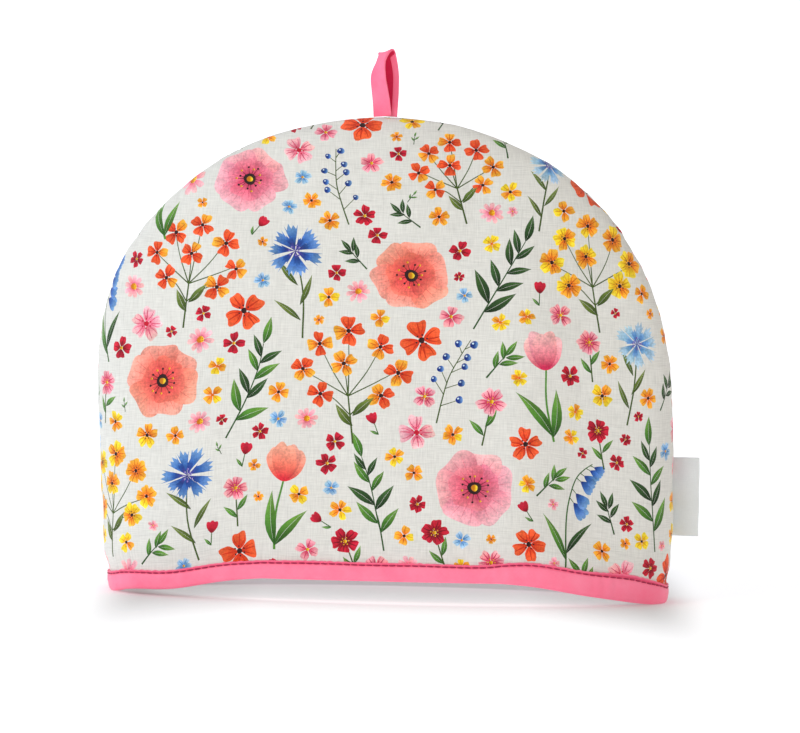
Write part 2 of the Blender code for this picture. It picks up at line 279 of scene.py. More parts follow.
def cloth_on_dome(across, up):
    """Where the point (across, up) of a flat panel lies on the plain dome."""
    up = np.clip(up, 0.0, CLOTH_HEIGHT)
    row = np.interp(up, UP, np.arange(LEVEL_COUNT))
    z = np.interp(up, UP, LEVELS)
    right = across >= 0
    reach = np.where(right, np.interp(up, UP, REACH[1]), np.interp(up, UP, REACH[0]))
    column = np.clip(np.abs(across) / np.maximum(reach, TINY), 0.0, 1.0) * (TURN_COUNT - 1)
    turns = [blend_table(table, row, column) for table in TURN_AT]
    x, y, normal_x, normal_y = section_point(z, np.where(right, turns[1], turns[0]), right)
    return x, y, z, normal_x, normal_y


def waves(a, b, seed, size, count=7):
    """Soft irregular waves over (a, b) from -1 to 1, with bumps about size across."""
    rng = np.random.default_rng(seed)
    total = np.zeros_like(a)
    for _ in range(count):
        angle = rng.uniform(0, math.pi)
        pitch = size * rng.uniform(0.7, 1.6)
        phase = rng.uniform(0, FULL_TURN)
        total += np.sin(FULL_TURN * (a * math.cos(angle) + b * math.sin(angle)) / pitch + phase)
    return total / math.sqrt(count) / 1.6


# The soft upright ridge right of the middle, where the front turns to the side: place and push.
FRONT_BEND_MM = (
    (0, 0), (35, 0.3), (60, 1.0), (72, 1.1), (90, -1.7), (112, -3.3), (132, -2.5), (146, -0.6),
    (160, 0),
)
# Heights over which the bend comes in above the hem and goes out again, start and length.
BEND_IN = (6 * MM, 22 * MM)
BEND_OUT = (228 * MM, 50 * MM)


def bend_push(across, up, side):
    if side == BACK:
        return 0 * across
    places, pushes = np.array(FRONT_BEND_MM).T
    bend = sum(np.interp(across / MM + shift, places, pushes) for shift in (-6, 0, 6)) / 3
    going = smooth_step((BEND_OUT[0] - up) / BEND_OUT[1])
    coming = smooth_step((up - BEND_IN[0]) / BEND_IN[1])
    return bend * MM * (going * coming)


def fine_relief(across, up, y, side):
    """Small waves of padded cloth, and puckers along the seam and above the binding."""
    seed = 3 if side == FRONT else 4
    soft = 0.45 * MM * waves(across, up, seed, 46 * MM)
    soft += 0.14 * MM * waves(across, up, seed + 10, 15 * MM)
    seam_near = hump(np.abs(y), 0, 9 * MM, 1.5)
    along_seam = np.hypot(across * 0.6, up)
    seam_pucker = 0.55 * MM * waves(along_seam, 0 * up, seed + 20, 9 * MM, 5) * seam_near
    above = np.maximum(up - BINDING_HEIGHT, 0.0)
    hem_near = hump(above, 0, 9 * MM, 1.5) * smooth_step((up - 5 * MM) / (6 * MM))
    hem_pucker = 0.4 * MM * waves(across, 0 * up, seed + 30, 11 * MM, 5) * hem_near
    grip = smooth_step((up - 6 * MM) / (8 * MM))
    return (soft + seam_pucker) * grip + hem_pucker + bend_push(across, up, side)


def outer_cloth(across, up, side):
    """Points of a panel's outer face at flat cloth places."""
    x, y, z, normal_x, normal_y = cloth_on_dome(across, up)
    deep = smooth_step(y / (2.0 * MM))
    push = relief(x, y, z, side) - hem_press(z) + fine_relief(across, up, y, side) * deep
    bent_y = np.maximum(y + push * normal_y, CLEARANCE / 2)
    bent_x, bent_z = pinch(x + push * normal_x, bent_y, z)
    return np.stack([bent_x + SHIFT_X, side * bent_y, lift(x, bent_z, HEM_SEAT, side)], axis=-1)


def inner_cloth(across, up, side):
    """Points of the lining inside the padding, at flat cloth places."""
    x, y, z, normal_x, normal_y = cloth_on_dome(across, up)
    push = relief(x, y, z, side) + hem_press(z) + bend_push(across, up, side)
    push += 0.35 * MM * waves(across, up, 7 if side == FRONT else 9, 38 * MM)
    high = smooth_step(z / PADDING_TURN)
    width = side_width(np.zeros_like(x), across >= 0)
    in_x = PADDING * ((1 - high) * normal_x + high * (x - APEX_X) / width)
    in_y = PADDING * ((1 - high) * normal_y + high * y / HEM_HALF_DEPTH)
    inner_y = np.maximum(y - in_y + push * normal_y, CLEARANCE / 2)
    inner_z = lift(x, z * (1 - PADDING / DOME_HEIGHT), HEM_SEAT, side)
    return np.stack([x - in_x + push * normal_x + SHIFT_X, side * inner_y, inner_z], axis=-1)


# --- painted shapes -------------------------------------------------------------------------


def linear(red, green, blue):
    """A colour given as 0 to 255 display values, as linear light."""
    shown = np.array([red, green, blue]) / 255
    return np.where(shown <= 0.04045, shown / 12.92, ((shown + 0.055) / 1.055) ** 2.4)


def palette(*tones):
    """A motif's colours from its root to its tip."""
    return tuple(linear(*tone) for tone in tones)


GROUND = linear(207, 206, 200)
HALO = linear(224, 224, 220)
ORANGE_RED = palette((214, 52, 22), (236, 86, 40), (240, 102, 56))
CRIMSON = palette((120, 8, 30), (196, 22, 48), (206, 36, 66))
YELLOW = palette((232, 160, 20), (248, 214, 36), (250, 228, 80))
AMBER = palette((226, 104, 20), (245, 160, 40), (249, 196, 70))
CORAL = palette((214, 44, 60), (240, 122, 104), (247, 176, 156))
ROSE = palette((206, 40, 88), (240, 140, 158), (250, 196, 200))
PALE_PINK = palette((232, 96, 128), (246, 170, 182), (251, 208, 208))
BLUE = palette((26, 52, 130), (52, 104, 186), (120, 166, 218))
LIGHT_BLUE = palette((70, 130, 196), (142, 188, 226), (196, 220, 238))
LILAC = palette((92, 74, 160), (140, 128, 200), (190, 184, 226))
GREEN = palette((48, 96, 32), (84, 142, 52), (122, 168, 70))
DARK_GREEN = palette((26, 52, 26), (48, 84, 40), (70, 108, 52))
OLIVE = palette((66, 88, 34), (96, 118, 50), (128, 146, 70))
DARK_HEART = palette((40, 20, 24), (52, 28, 30), (70, 40, 40))
GOLD_HEART = palette((196, 120, 16), (242, 196, 30), (250, 222, 70))


def xy(x, y):
    return np.stack([x, y], axis=-1)


def petal(length, width, notch, belly, wobble, phase):
    """A rounded petal from the origin along +X, in millimetres."""
    count = int(np.clip(2.3 * length, 12, 34))
    turn = np.linspace(0, FULL_TURN, count, endpoint=False)
    along = (1 - np.cos(turn)) / 2
    half = np.sin(turn) * (0.35 + 0.65 * along**belly)
    half /= np.abs(half).max()
    reach = 1 + wobble * np.sin(3 * turn + phase) + 0.6 * wobble * np.sin(5 * turn - phase)
    tip = notch * hump(turn, math.pi, 0.42)
    return xy(length * along * (reach - tip), 0.5 * width * half * reach)


def toothed_petal(length, width, phase, teeth=4):
    """A petal of a cornflower: narrow at its root and cut into teeth at its tip."""
    side = np.linspace(0, 1, 5)[1:-1]
    lower = xy(side * 0.72 * length, -0.5 * width * side**1.3 * 0.8)
    tips = []
    for k in range(2 * teeth - 1):
        across = -0.5 + (k + 0.5) / (2 * teeth - 1)
        reach = 0.97 + 0.06 * math.sin(phase + 2.2 * k) if k % 2 == 0 else 0.78
        tips.append((length * reach * (1 - 0.5 * across**2), width * across * 1.05))
    return np.vstack([[(0.0, 0.0)], lower, tips, lower[::-1] * (1, -1)])


def leaf_halves(length, width, bend):
    """The two halves of a pointed leaf along +X, either side of its bent rib."""
    share = (1 - np.cos(np.linspace(0, math.pi, 12))) / 2
    rib = xy(length * share, bend * length * share**2)
    swell = 0.5 * width * np.sin(math.pi * share**0.85) ** 1.15
    upper = rib + xy(0 * swell, swell)
    lower = rib - xy(0 * swell, 0.92 * swell)
    gap = xy(0 * swell, 0.012 * width * np.sin(math.pi * share))
    return np.vstack([rib + gap, upper[1:-1][::-1]]), np.vstack([lower[1:-1], (rib - gap)[::-1]])


def disc(radius, phase):
    turn = np.linspace(0, FULL_TURN, 14, endpoint=False)
    reach = radius * (1 + 0.05 * np.sin(2 * turn + phase) + 0.05 * np.sin(3 * turn - phase))
    return xy(reach * np.cos(turn), reach * np.sin(turn))


def sideways(line):
    """Unit directions to the left of a line."""
    tangent = np.gradient(line, axis=0)
    tangent /= np.maximum(np.hypot(tangent[:, :1], tangent[:, 1:]), TINY)
    return xy(-tangent[:, 1], tangent[:, 0])


def stroke(points, start_width, end_width, steps):
    """A brush stroke along a smooth line, tapering from one width to the other."""
    line = smooth_curve(points, steps)
    half = np.linspace(start_width, end_width, len(line))[:, None] / 2
    return np.vstack([line + sideways(line) * half, (line - sideways(line) * half)[::-1]])


def turned(points, x, y, turn):
    """Points turned by degrees about the origin and moved to (x, y)."""
    angle = math.radians(turn)
    spin = np.array([[math.cos(angle), math.sin(angle)], [-math.sin(angle), math.cos(angle)]])
    return np.asarray(points, float) @ spin + (x, y)


def places(x, y, size, turn):
    """A motif's own places: along and across its turn, as shares of its size."""
    return lambda along, across=0.0: turned([(along * size, across * size)], x, y, turn)[0]


def bent_stem(points, x, y, size, turn):
    """A smooth stem through a motif's own places, as shares of its size."""
    return smooth_curve(turned([(a * size, b * size) for a, b in points], x, y, turn), 8)


def part_way(line, share):
    return line[min(int(share * (len(line) - 1)), len(line) - 1)]


def straight(start, end):
    return [start, (start + end) / 2, end]


# A grid over the panel that holds how far each place is from the nearest shape, up to a reach.
ROOM_LOW = np.array([-178.0, 4.0])
ROOM_SIZE = (356, 270)
ROOM_CELL = 2.0
ROOM_REACH = 17.0
# Blossoms and leaf sprays above this size in millimetres have more detail.
LARGE_BLOSSOM = 13
LARGE_LEAFLETS = 15
# A petal's notch, how far out it is widest and how uneven its outline is.
BLOSSOM_WAVE = (0.7, 0.075)
BLOOM_FORM = (0.07, 0.9, 0.045)
DAISY_FORM = (0.05, 0.8, 0.03)
BELL_FORM = (0.0, 1.2, 0.03)
TULIP_FORM = (0.0, 0.25, 0.03)
BUD_FORM = (0.0, 0.4, 0.03)
# Twigs of a spray: where each ends, along and across.
SPRAY_HEADS = ((0.4, 0.02), (0.3, 0.24), (0.27, -0.22), (0.1, 0.37), (0.06, -0.35), (0.14, 0.06),
               (-0.1, 0.24), (-0.12, -0.22))
# Petals of a tulip, from the back: lean, length and width.
TULIP_CUP = ((26, 0.33, 0.17), (-26, 0.33, 0.17), (12, 0.37, 0.17), (-12, 0.36, 0.17),
             (0, 0.34, 0.2))


class Print:
    """The painted shapes of one panel in the order of painting, in flat millimetres."""

    def __init__(self, seed):
        self.rng = np.random.default_rng(seed)
        self.shapes = []
        self.room = np.full([int(side / ROOM_CELL) for side in ROOM_SIZE], ROOM_REACH)

    def vary(self, low, high):
        return float(self.rng.uniform(low, high))

    def tint(self, colours):
        """The colours a little lighter or darker, and a little warmer or cooler."""
        shade = 1 + self.vary(-0.12, 0.12)
        warm = np.array([1 + self.vary(-0.04, 0.04), 1.0, 1 + self.vary(-0.08, 0.08)])
        return [np.clip(colour * shade * warm, 0.0, 1.0) for colour in colours]

    def paint(self, outline, start, end, colours, wash=1.0):
        """Adds a shape whose colours run from start to end."""
        outline = np.array(outline)
        self.shapes.append((outline, np.array(start), np.array(end), colours, wash))
        low = np.floor((outline.min(axis=0) - ROOM_REACH - ROOM_LOW) / ROOM_CELL).astype(int)
        high = np.ceil((outline.max(axis=0) + ROOM_REACH - ROOM_LOW) / ROOM_CELL).astype(int)
        low, high = np.maximum(low, 0), np.minimum(high, self.room.shape)
        if (high > low).all():
            i, j = np.meshgrid(*(np.arange(a, b) for a, b in zip(low, high)), indexing="ij")
            cells = np.stack([i, j], axis=-1) * ROOM_CELL + ROOM_LOW
            squares = ((cells[:, :, None] - outline[None, None, ::2]) ** 2).sum(axis=-1)
            part = self.room[low[0] : high[0], low[1] : high[1]]
            np.minimum(part, np.sqrt(squares.min(axis=-1)), out=part)

    def paint_along(self, place, turn, outline, length, colours, wash=1.0):
        """Paints an outline that is given along +X, at a place and a turn."""
        root, tip = (turned([(far, 0.0)], *place, turn)[0] for far in (0.1 * length, length))
        self.paint(turned(outline, *place, turn), root, tip, self.tint(colours), wash)

    def paint_petal(self, place, turn, length, width, form, colours, drawn=1.0, squeeze=1.0):
        """Paints a rounded petal. Its colours run over length, and drawn is its own share of it."""
        outline = petal(length * drawn, width, *form, self.vary(0, 6)) * (squeeze, 1.0)
        self.paint_along(place, turn, outline, length, colours)

    def paint_disc(self, place, radius, colours, wash=0.5):
        outline = turned(disc(radius, self.vary(0, 6)), *place, self.vary(0, 360))
        self.paint(outline, place, (place[0] + radius, place[1]), colours, wash)

    def paint_stroke(self, points, start_width, end_width, colour, steps=5):
        outline = stroke(points, start_width, end_width, steps)
        colours = (colour,) * 3 if np.ndim(colour) == 1 else colour
        self.paint(outline, points[0], points[-1], colours, 0.6)

    def paint_streak(self, place, turn, length, lean, width, colour):
        """A short darker streak along a petal."""
        line = turned([(0.22 * length, 0.3 * lean * length), (0.5 * length, 0.8 * lean * length),
                       (0.8 * length, lean * length)], *place, turn)
        self.paint_stroke(line, width, 0.35 * width, colour, 2)

    def leaf(self, place, turn, length, width, colours=GREEN, bend=0.12):
        """A pointed leaf of two greens, one on each side of its rib."""
        bend = bend * (1 if self.vary(0, 1) > 0.5 else -1)
        for share, half in zip((1.0, 0.72), leaf_halves(length, width, bend)):
            self.paint_along(place, turn, half, length, [colour * share for colour in colours], 0.8)

    def leaves(self, at, turn, rows, spread, length, width, colours):
        """Leaves from a stem. Each row is a share along the stem and the side, 1 or -1."""
        for share, way in rows:
            self.leaf(at(share), turn + way * self.vary(*spread), length, width, colours)

    def blossom(self, place, size, colours, heart, petals=5, width=0.44, other=None):
        """A flat open flower of rounded petals with a small heart."""
        first = self.vary(0, 360)
        for k in range(petals):
            shades = other if other is not None and self.vary(0, 1) < 0.38 else colours
            length = 0.5 * size * self.vary(0.9, 1.06)
            angle = first + 360 * k / petals + self.vary(-6, 6)
            broad = width * size * self.vary(0.86, 1.1)
            start = places(*place, size, angle)(0.05)
            self.paint_petal(start, angle, length, broad, (0.1, *BLOSSOM_WAVE), shades,
                             squeeze=0.94)
            deep = shades[0] * self.vary(0.75, 1.0)
            self.paint_streak(start, angle, length, self.vary(-0.12, 0.12), 0.05 * size, deep)
            for lean in (-0.34, 0.34) if size > LARGE_BLOSSOM else ():
                self.paint_streak(start, angle, 0.9 * length, lean, 0.03 * size, deep)
        self.paint_disc(place, 0.075 * size, heart)
        for k in range(6 if size > LARGE_BLOSSOM else 0):
            dot = places(*place, size, first + 30 + 60 * k + self.vary(-9, 9))(0.135)
            self.paint_disc(dot, 0.018 * size + 0.12, heart)

    def bloom(self, place, size, turn, colours):
        """A large open flower: two rings of wide petals, veins and a stamened heart."""
        between = colours[0] * 0.6 + colours[1] * 0.4
        inner = (colours[0], between, colours[1])
        rings = ((0.0, 1.0, 6, 0.5, colours), (0.5, 0.62, 5, 0.36, inner))
        for shift, share, petals, wide, shades in rings:
            for k in range(petals):
                angle = turn + 360 * (k + shift) / petals + self.vary(-5, 5)
                length = 0.5 * size * share * self.vary(0.93, 1.05)
                broad = wide * size * self.vary(0.92, 1.06)
                self.paint_petal(place, angle, length, broad, BLOOM_FORM, shades)
                for lean in (-0.13, 0.0, 0.13):
                    vein = [(0.3 * length, lean * 0.5 * length),
                            (0.6 * length, lean * 1.3 * length),
                            (0.84 * length, lean * 1.9 * length)]
                    self.paint_stroke(turned(vein, *place, angle), 0.42, 0.1,
                                      shades[0] * 0.5 + shades[1] * 0.5)
        self.paint_disc(place, 0.085 * size, DARK_HEART)
        for k in range(14):
            angle = turn + 360 * k / 14 + self.vary(-7, 7)
            far = self.vary(0.13, 0.19) * size
            ends = turned([(0.06 * size, 0.0), (far, 0.0)], *place, angle)
            self.paint_stroke(straight(*ends), 0.35, 0.25, DARK_HEART)
            self.paint_disc(ends[1], 0.62, GOLD_HEART if k % 2 else DARK_HEART)
        self.paint_disc(place, 0.042 * size, GOLD_HEART)

    def daisy(self, place, size, colours, petals=9):
        first = self.vary(0, 360)
        for k in range(petals):
            angle = first + 360 * k / petals + self.vary(-4, 4)
            length = 0.5 * size * self.vary(0.88, 1.05)
            start = places(*place, length, angle)(0.14)
            self.paint_petal(start, angle, length, 0.19 * size, DAISY_FORM, colours, drawn=0.86)
        self.paint_disc(place, 0.13 * size, GOLD_HEART)
        for k in range(7):
            dot = places(*place, size, 360 * k / 7 + first)(0.085)
            self.paint_disc(dot, 0.016 * size + 0.1, (AMBER[0],) * 3)

    def leaf_sprig(self, place, size, turn, colours=GREEN, pairs=4):
        """A bent stem with leaves on both sides and one at its tip."""
        bow = self.vary(-0.08, 0.08)
        line = bent_stem([(-0.5, 0), (-0.15, bow), (0.2, bow), (0.42, 0)], *place, size, turn)
        self.paint_stroke(line[::4], 0.9, 0.45, DARK_GREEN[1])
        for k in range(pairs):
            for way, start in ((-1, 0.2), (1, 0.27)):
                length = size * (0.32 - 0.035 * k) * self.vary(0.88, 1.1)
                lean = turn + way * self.vary(34, 50) * (1 - 0.08 * k)
                shades = colours if (k + way) % 2 else DARK_GREEN
                root = part_way(line, start + 0.72 * k / pairs)
                self.leaf(root, lean, length, 0.3 * length, shades)
        self.leaf(line[-1], turn + self.vary(-8, 8), 0.26 * size, 0.08 * size, colours)

    def cornflower(self, place, size, turn, colours=BLUE):
        """A stem with narrow leaves and one flower of toothed petals."""
        at = places(*place, size, turn)
        head = at(0.3)
        self.paint_stroke([at(-0.5), at(-0.1, self.vary(-0.05, 0.05)), head], 1.0, 0.7, OLIVE[0])
        self.leaves(at, turn, ((-0.34, 1), (-0.2, -1), (-0.02, 1)), (24, 40), 0.3 * size,
                    0.055 * size, OLIVE)
        flower = 0.5 * size
        for shift, share, petals, shades in ((0.0, 1.0, 9, colours),
                                             (0.5, 0.62, 7, (LILAC[0], colours[0], colours[1]))):
            for k in range(petals):
                angle = turn + 360 * (k + shift) / petals + self.vary(-7, 7)
                length = 0.5 * flower * share * self.vary(0.88, 1.08)
                outline = toothed_petal(length, 0.52 * length, self.vary(0, 6))
                self.paint_along(head, angle, outline, length, shades)
        for k in range(8):
            far = self.vary(0.06, 0.12)
            dot = places(*head, flower, 45 * k + self.vary(-9, 9))(far)
            self.paint_disc(dot, 0.55, LILAC)

    def bell_stem(self, place, size, turn, colours=BLUE):
        """An arching stem with hanging bell flowers along one side."""
        line = bent_stem([(-0.5, 0), (0.0, 0.05), (0.34, 0.0), (0.5, -0.14)], *place, size, turn)
        self.paint_stroke(line[::4], 1.0, 0.5, GREEN[0])
        self.leaf(line[1], turn + 24, 0.46 * size, 0.075 * size, GREEN, 0.2)
        self.leaf(line[2], turn - 22, 0.4 * size, 0.07 * size, DARK_GREEN, 0.2)
        for k in range(6):
            root = part_way(line, 0.46 + 0.105 * k)
            length = size * (0.17 - 0.012 * k)
            lean = turn - 128 + 6 * k + self.vary(-8, 8)
            stalk = places(*root, length, lean)(0.35)
            self.paint_stroke(straight(root, stalk), 0.5, 0.4, GREEN[0])
            for flare in (-17, 17, 0):
                self.paint_petal(stalk, lean + flare, length, 0.36 * length, BELL_FORM, colours)

    def tulip(self, place, size, turn, colours=CORAL):
        """A cup of overlapping petals on a stem with two long leaves."""
        at = places(*place, size, turn)
        self.paint_stroke([at(-0.5), at(-0.16, 0.03), at(0.16)], 1.3, 1.0, GREEN[1])
        for way, share in ((1, 0.52), (-1, 0.44)):
            self.leaf(at(-0.46), turn + 22 * way, share * size, 0.11 * size, GREEN, 0.22)
        for lean, share, wide in TULIP_CUP:
            self.paint_petal(at(0.16), turn + lean, share * size, wide * size, TULIP_FORM, colours)

    def spray(self, place, size, turn, colours, other, petals=5):
        """A forked stem whose twigs each end in a small flower."""
        at = places(*place, size, turn)
        foot, fork = at(-0.5), at(-0.12, 0.03)
        self.paint_stroke(straight(foot, fork), 1.0, 0.8, OLIVE[0])
        for k, (along, across) in enumerate(SPRAY_HEADS):
            tip = turned([(along * size + self.vary(-1.5, 1.5), across * size)], *place, turn)[0]
            bend = turned([(0.35 * along * size, 0.75 * across * size)], *place, turn)[0]
            root = fork if k < 6 else (foot * 0.4 + fork * 0.6)
            self.paint_stroke([root, (root + bend) / 2 * 0.7 + tip * 0.3, tip], 0.7, 0.4, OLIVE[0])
        for k, head in enumerate(SPRAY_HEADS):
            shades, second = (other, colours) if k % 3 == 1 else (colours, other)
            self.blossom(at(*head), self.vary(0.2, 0.245) * size, shades, DARK_HEART, petals, 0.42,
                         second)
        for along, way in ((-0.36, 1), (-0.28, -1)):
            self.leaf(at(along), turn + way * 42, 0.22 * size, 0.07 * size, OLIVE)

    def berry_twig(self, place, size, turn, colours=BLUE):
        """A thin forked twig with round berries that catch the light."""
        line = bent_stem([(-0.5, 0), (0, 0.06), (0.46, 0)], *place, size, turn)
        self.paint_stroke(line[::4], 0.8, 0.4, OLIVE[0])
        for k in range(9):
            root = part_way(line, 0.24 + 0.084 * k)
            way = 1 if k % 2 else -1
            reach = size * (0.2 - 0.012 * k)
            end = places(*root, reach, turn + way * self.vary(40, 58))(1.0)
            self.paint_stroke(straight(root, end), 0.5, 0.35, OLIVE[0])
            radius = self.vary(0.032, 0.042) * size
            self.paint_disc(end, radius, self.tint(colours), 1.0)
            self.paint_disc((end[0] - 0.3 * radius, end[1] + 0.35 * radius), 0.26 * radius,
                            (LIGHT_BLUE[2],) * 3)

    def leaflets(self, place, size, colours):
        """A short bent twig with three or five leaves."""
        turn = 90 + self.vary(-50, 50)
        at = places(*place, size, turn)
        tip = at(0.1, 0.03)
        self.paint_stroke(straight(at(-0.5), tip), 0.035 * size + 0.15, 0.4, DARK_GREEN[1], 3)
        rows = ((-0.24, 1), (-0.12, -1), (0.02, 1), (0.08, -1))
        self.leaves(at, turn, rows if size > LARGE_LEAFLETS else rows[:2], (34, 50), 0.4 * size,
                    0.13 * size, colours)
        self.leaf(tip, turn + self.vary(-8, 8), 0.42 * size, 0.13 * size, colours)

    def stem(self, place, size, colours, heart):
        """A flower on a short stem with two leaves."""
        turn = 90 + self.vary(-24, 24)
        at = places(*place, size, turn)
        head = at(0.22, self.vary(-0.05, 0.05))
        self.paint_stroke(straight(at(-0.5), head), 0.9, 0.6, OLIVE[0], 3)
        self.leaves(at, turn, ((-0.34, 1), (-0.2, -1)), (30, 44), 0.34 * size, 0.1 * size, GREEN)
        self.blossom(head, 0.46 * size, colours, heart, 5, 0.4)

    def bud(self, place, size, colours):
        turn = 90 + self.vary(-60, 60)
        foot = places(*place, size, turn)(-0.5)
        self.paint_stroke(straight(foot, np.array(place)), 0.6, 0.5, GREEN[0])
        self.leaf(foot, turn + 38, 0.42 * size, 0.13 * size, GREEN)
        for flare in (-20, 20, 0):
            self.paint_petal(place, turn + flare, 0.5 * size, 0.24 * size, BUD_FORM, colours)


# How each main motif is painted, after its place, size and turn.
MAIN_MOTIFS = {
    "spray_amber": (Print.spray, AMBER, YELLOW),
    "spray_orange": (Print.spray, ORANGE_RED, AMBER, 4),
    "cornflower": (Print.cornflower,),
    "cornflower_light": (Print.cornflower, LIGHT_BLUE),
    "tulip_coral": (Print.tulip, CORAL),
    "tulip_rose": (Print.tulip, ROSE),
    "leaf_sprig": (Print.leaf_sprig,),
    "leaf_sprig_dark": (Print.leaf_sprig, DARK_GREEN),
    "bloom_coral": (Print.bloom, CORAL),
    "bloom_rose": (Print.bloom, ROSE),
    "bell_stem": (Print.bell_stem,),
    "berry_twig": (Print.berry_twig,),
}
# Main motifs of the print: kind, x from the panel's middle, y up from the hem, size in
# millimetres, and turn in degrees with 90 upright.
MAIN_FRONT = (
    ("spray_amber", -148, 48, 62, 84), ("cornflower", -100, 42, 60, 98),
    ("tulip_coral", -52, 44, 58, 84), ("leaf_sprig", -4, 44, 58, 104),
    ("bloom_rose", 50, 52, 43, 10), ("bell_stem", 104, 42, 60, 84),
    ("leaf_sprig", 152, 58, 62, 96), ("bloom_coral", -118, 112, 42, 40),
    ("leaf_sprig", -72, 106, 60, 70), ("spray_orange", -16, 110, 70, 92),
    ("berry_twig", 38, 112, 52, 70), ("tulip_rose", 88, 110, 60, 98),
    ("cornflower_light", 138, 122, 56, 84), ("bell_stem", -158, 150, 56, 100),
    ("spray_orange", -102, 172, 64, 80), ("cornflower", -46, 164, 62, 96),
    ("bloom_coral", 14, 170, 42, 75), ("leaf_sprig_dark", 62, 168, 62, 62),
    ("spray_amber", 114, 176, 66, 96), ("bloom_rose", -74, 224, 40, 0),
    ("berry_twig", -24, 222, 48, 100), ("spray_orange", 38, 228, 56, 100),
    ("cornflower_light", 86, 222, 50, 80), ("tulip_coral", -126, 212, 46, 105),
)
MAIN_BACK = (
    ("leaf_sprig", -152, 52, 62, 96), ("bloom_coral", -104, 54, 43, 20),
    ("spray_orange", -48, 50, 66, 92), ("bell_stem", 6, 44, 60, 96),
    ("tulip_rose", 54, 46, 58, 84), ("cornflower", 104, 46, 60, 98),
    ("spray_amber", 150, 54, 60, 88), ("cornflower_light", -130, 124, 56, 96),
    ("leaf_sprig_dark", -78, 112, 62, 112), ("bloom_rose", -24, 114, 42, 60),
    ("spray_amber", 34, 116, 68, 84), ("leaf_sprig", 84, 112, 60, 74),
    ("bloom_coral", 132, 118, 40, 5), ("spray_orange", -104, 180, 64, 96),
    ("tulip_coral", -50, 172, 58, 82), ("cornflower", 4, 176, 60, 98),
    ("berry_twig", 56, 170, 50, 70), ("bell_stem", 104, 176, 58, 90),
    ("leaf_sprig", -68, 228, 50, 66), ("bloom_rose", -16, 232, 38, 30),
    ("spray_orange", 44, 228, 56, 84), ("cornflower", 92, 222, 46, 96),
)
# Small motifs between them: how each is painted, its size in millimetres and its colours.
LARGE_FILLERS = (
    (Print.blossom, 23.0, ORANGE_RED, DARK_HEART), (Print.leaflets, 26.0, GREEN),
    (Print.blossom, 18.0, PALE_PINK, (CRIMSON[1],) * 3), (Print.stem, 30.0, CRIMSON, GOLD_HEART),
    (Print.blossom, 20.0, ORANGE_RED, DARK_HEART), (Print.leaflets, 22.0, DARK_GREEN),
    (Print.daisy, 18.0, PALE_PINK), (Print.stem, 32.0, ROSE, GOLD_HEART),
)
SMALL_FILLERS = (
    (Print.blossom, 11.5, CRIMSON, GOLD_HEART), (Print.blossom, 12.5, YELLOW, DARK_HEART),
    (Print.daisy, 14.0, PALE_PINK), (Print.blossom, 10.0, YELLOW, (AMBER[0],) * 3),
    (Print.blossom, 13.0, ROSE, GOLD_HEART), (Print.blossom, 9.5, CRIMSON, GOLD_HEART),
    (Print.bud, 13.0, CRIMSON), (Print.blossom, 11.0, AMBER, DARK_HEART),
    (Print.blossom, 11.0, YELLOW, DARK_HEART), (Print.blossom, 9.5, LIGHT_BLUE, GOLD_HEART),
)
TINY_FILLERS = (
    (Print.blossom, 6.5, CRIMSON, GOLD_HEART), (Print.leaflets, 8.0, GREEN),
    (Print.blossom, 6.5, PALE_PINK, GOLD_HEART), (Print.blossom, 6.5, AMBER, DARK_HEART),
)
# The fillers in turn: rows, how many throws and how far apart in millimetres.
FILLER_ROUNDS = ((LARGE_FILLERS, 56, 2.2), (SMALL_FILLERS, 150, 2.8), (TINY_FILLERS, 36, 2.6))


def add_fillers(sheet, rows, rounds, gap):
    """Motifs from the rows in the gaps that are left, thrown at random and kept apart."""
    for step in range(rounds):
        add, size, *colours = rows[step % len(rows)]
        size *= sheet.vary(0.92, 1.1)
        narrow = 0.34 if add in (Print.leaflets, Print.stem) else 0.5
        free = np.argwhere(sheet.room > min(narrow * size + gap, 0.98 * ROOM_REACH))
        if len(free):
            spot = free[int(sheet.vary(0, len(free) - 0.001))]
            place = ROOM_LOW + (spot + (sheet.vary(-0.4, 0.4), sheet.vary(-0.4, 0.4))) * ROOM_CELL
            if add is Print.blossom:
                petals = 4 + (step // 3) % 2
                second = AMBER if colours[0] is YELLOW else None
                colours += [petals, 1.9 / (petals + 0.4), second]
            add(sheet, place, size, *colours)


def painted_print(seed, motifs):
    sheet = Print(seed)
    for kind, x, y, size, turn in motifs:
        add, *colours = MAIN_MOTIFS[kind]
        add(sheet, (x, y), size, turn, *colours)
    for rows, rounds, gap in FILLER_ROUNDS:
        add_fillers(sheet, rows, rounds, gap)
    return sheet.shapes


# --- materials --------------------------------------------------------------------------------


class Value:
    """A node's output that takes part in plain arithmetic."""

    def __init__(self, nodes, socket):
        self.nodes = nodes
        self.socket = socket

    def __add__(self, other):
        return self.nodes.math("ADD", self, other)

    def __sub__(self, other):
        return self.nodes.math("SUBTRACT", self, other)

    def __mul__(self, other):
        return self.nodes.math("MULTIPLY", self, other)


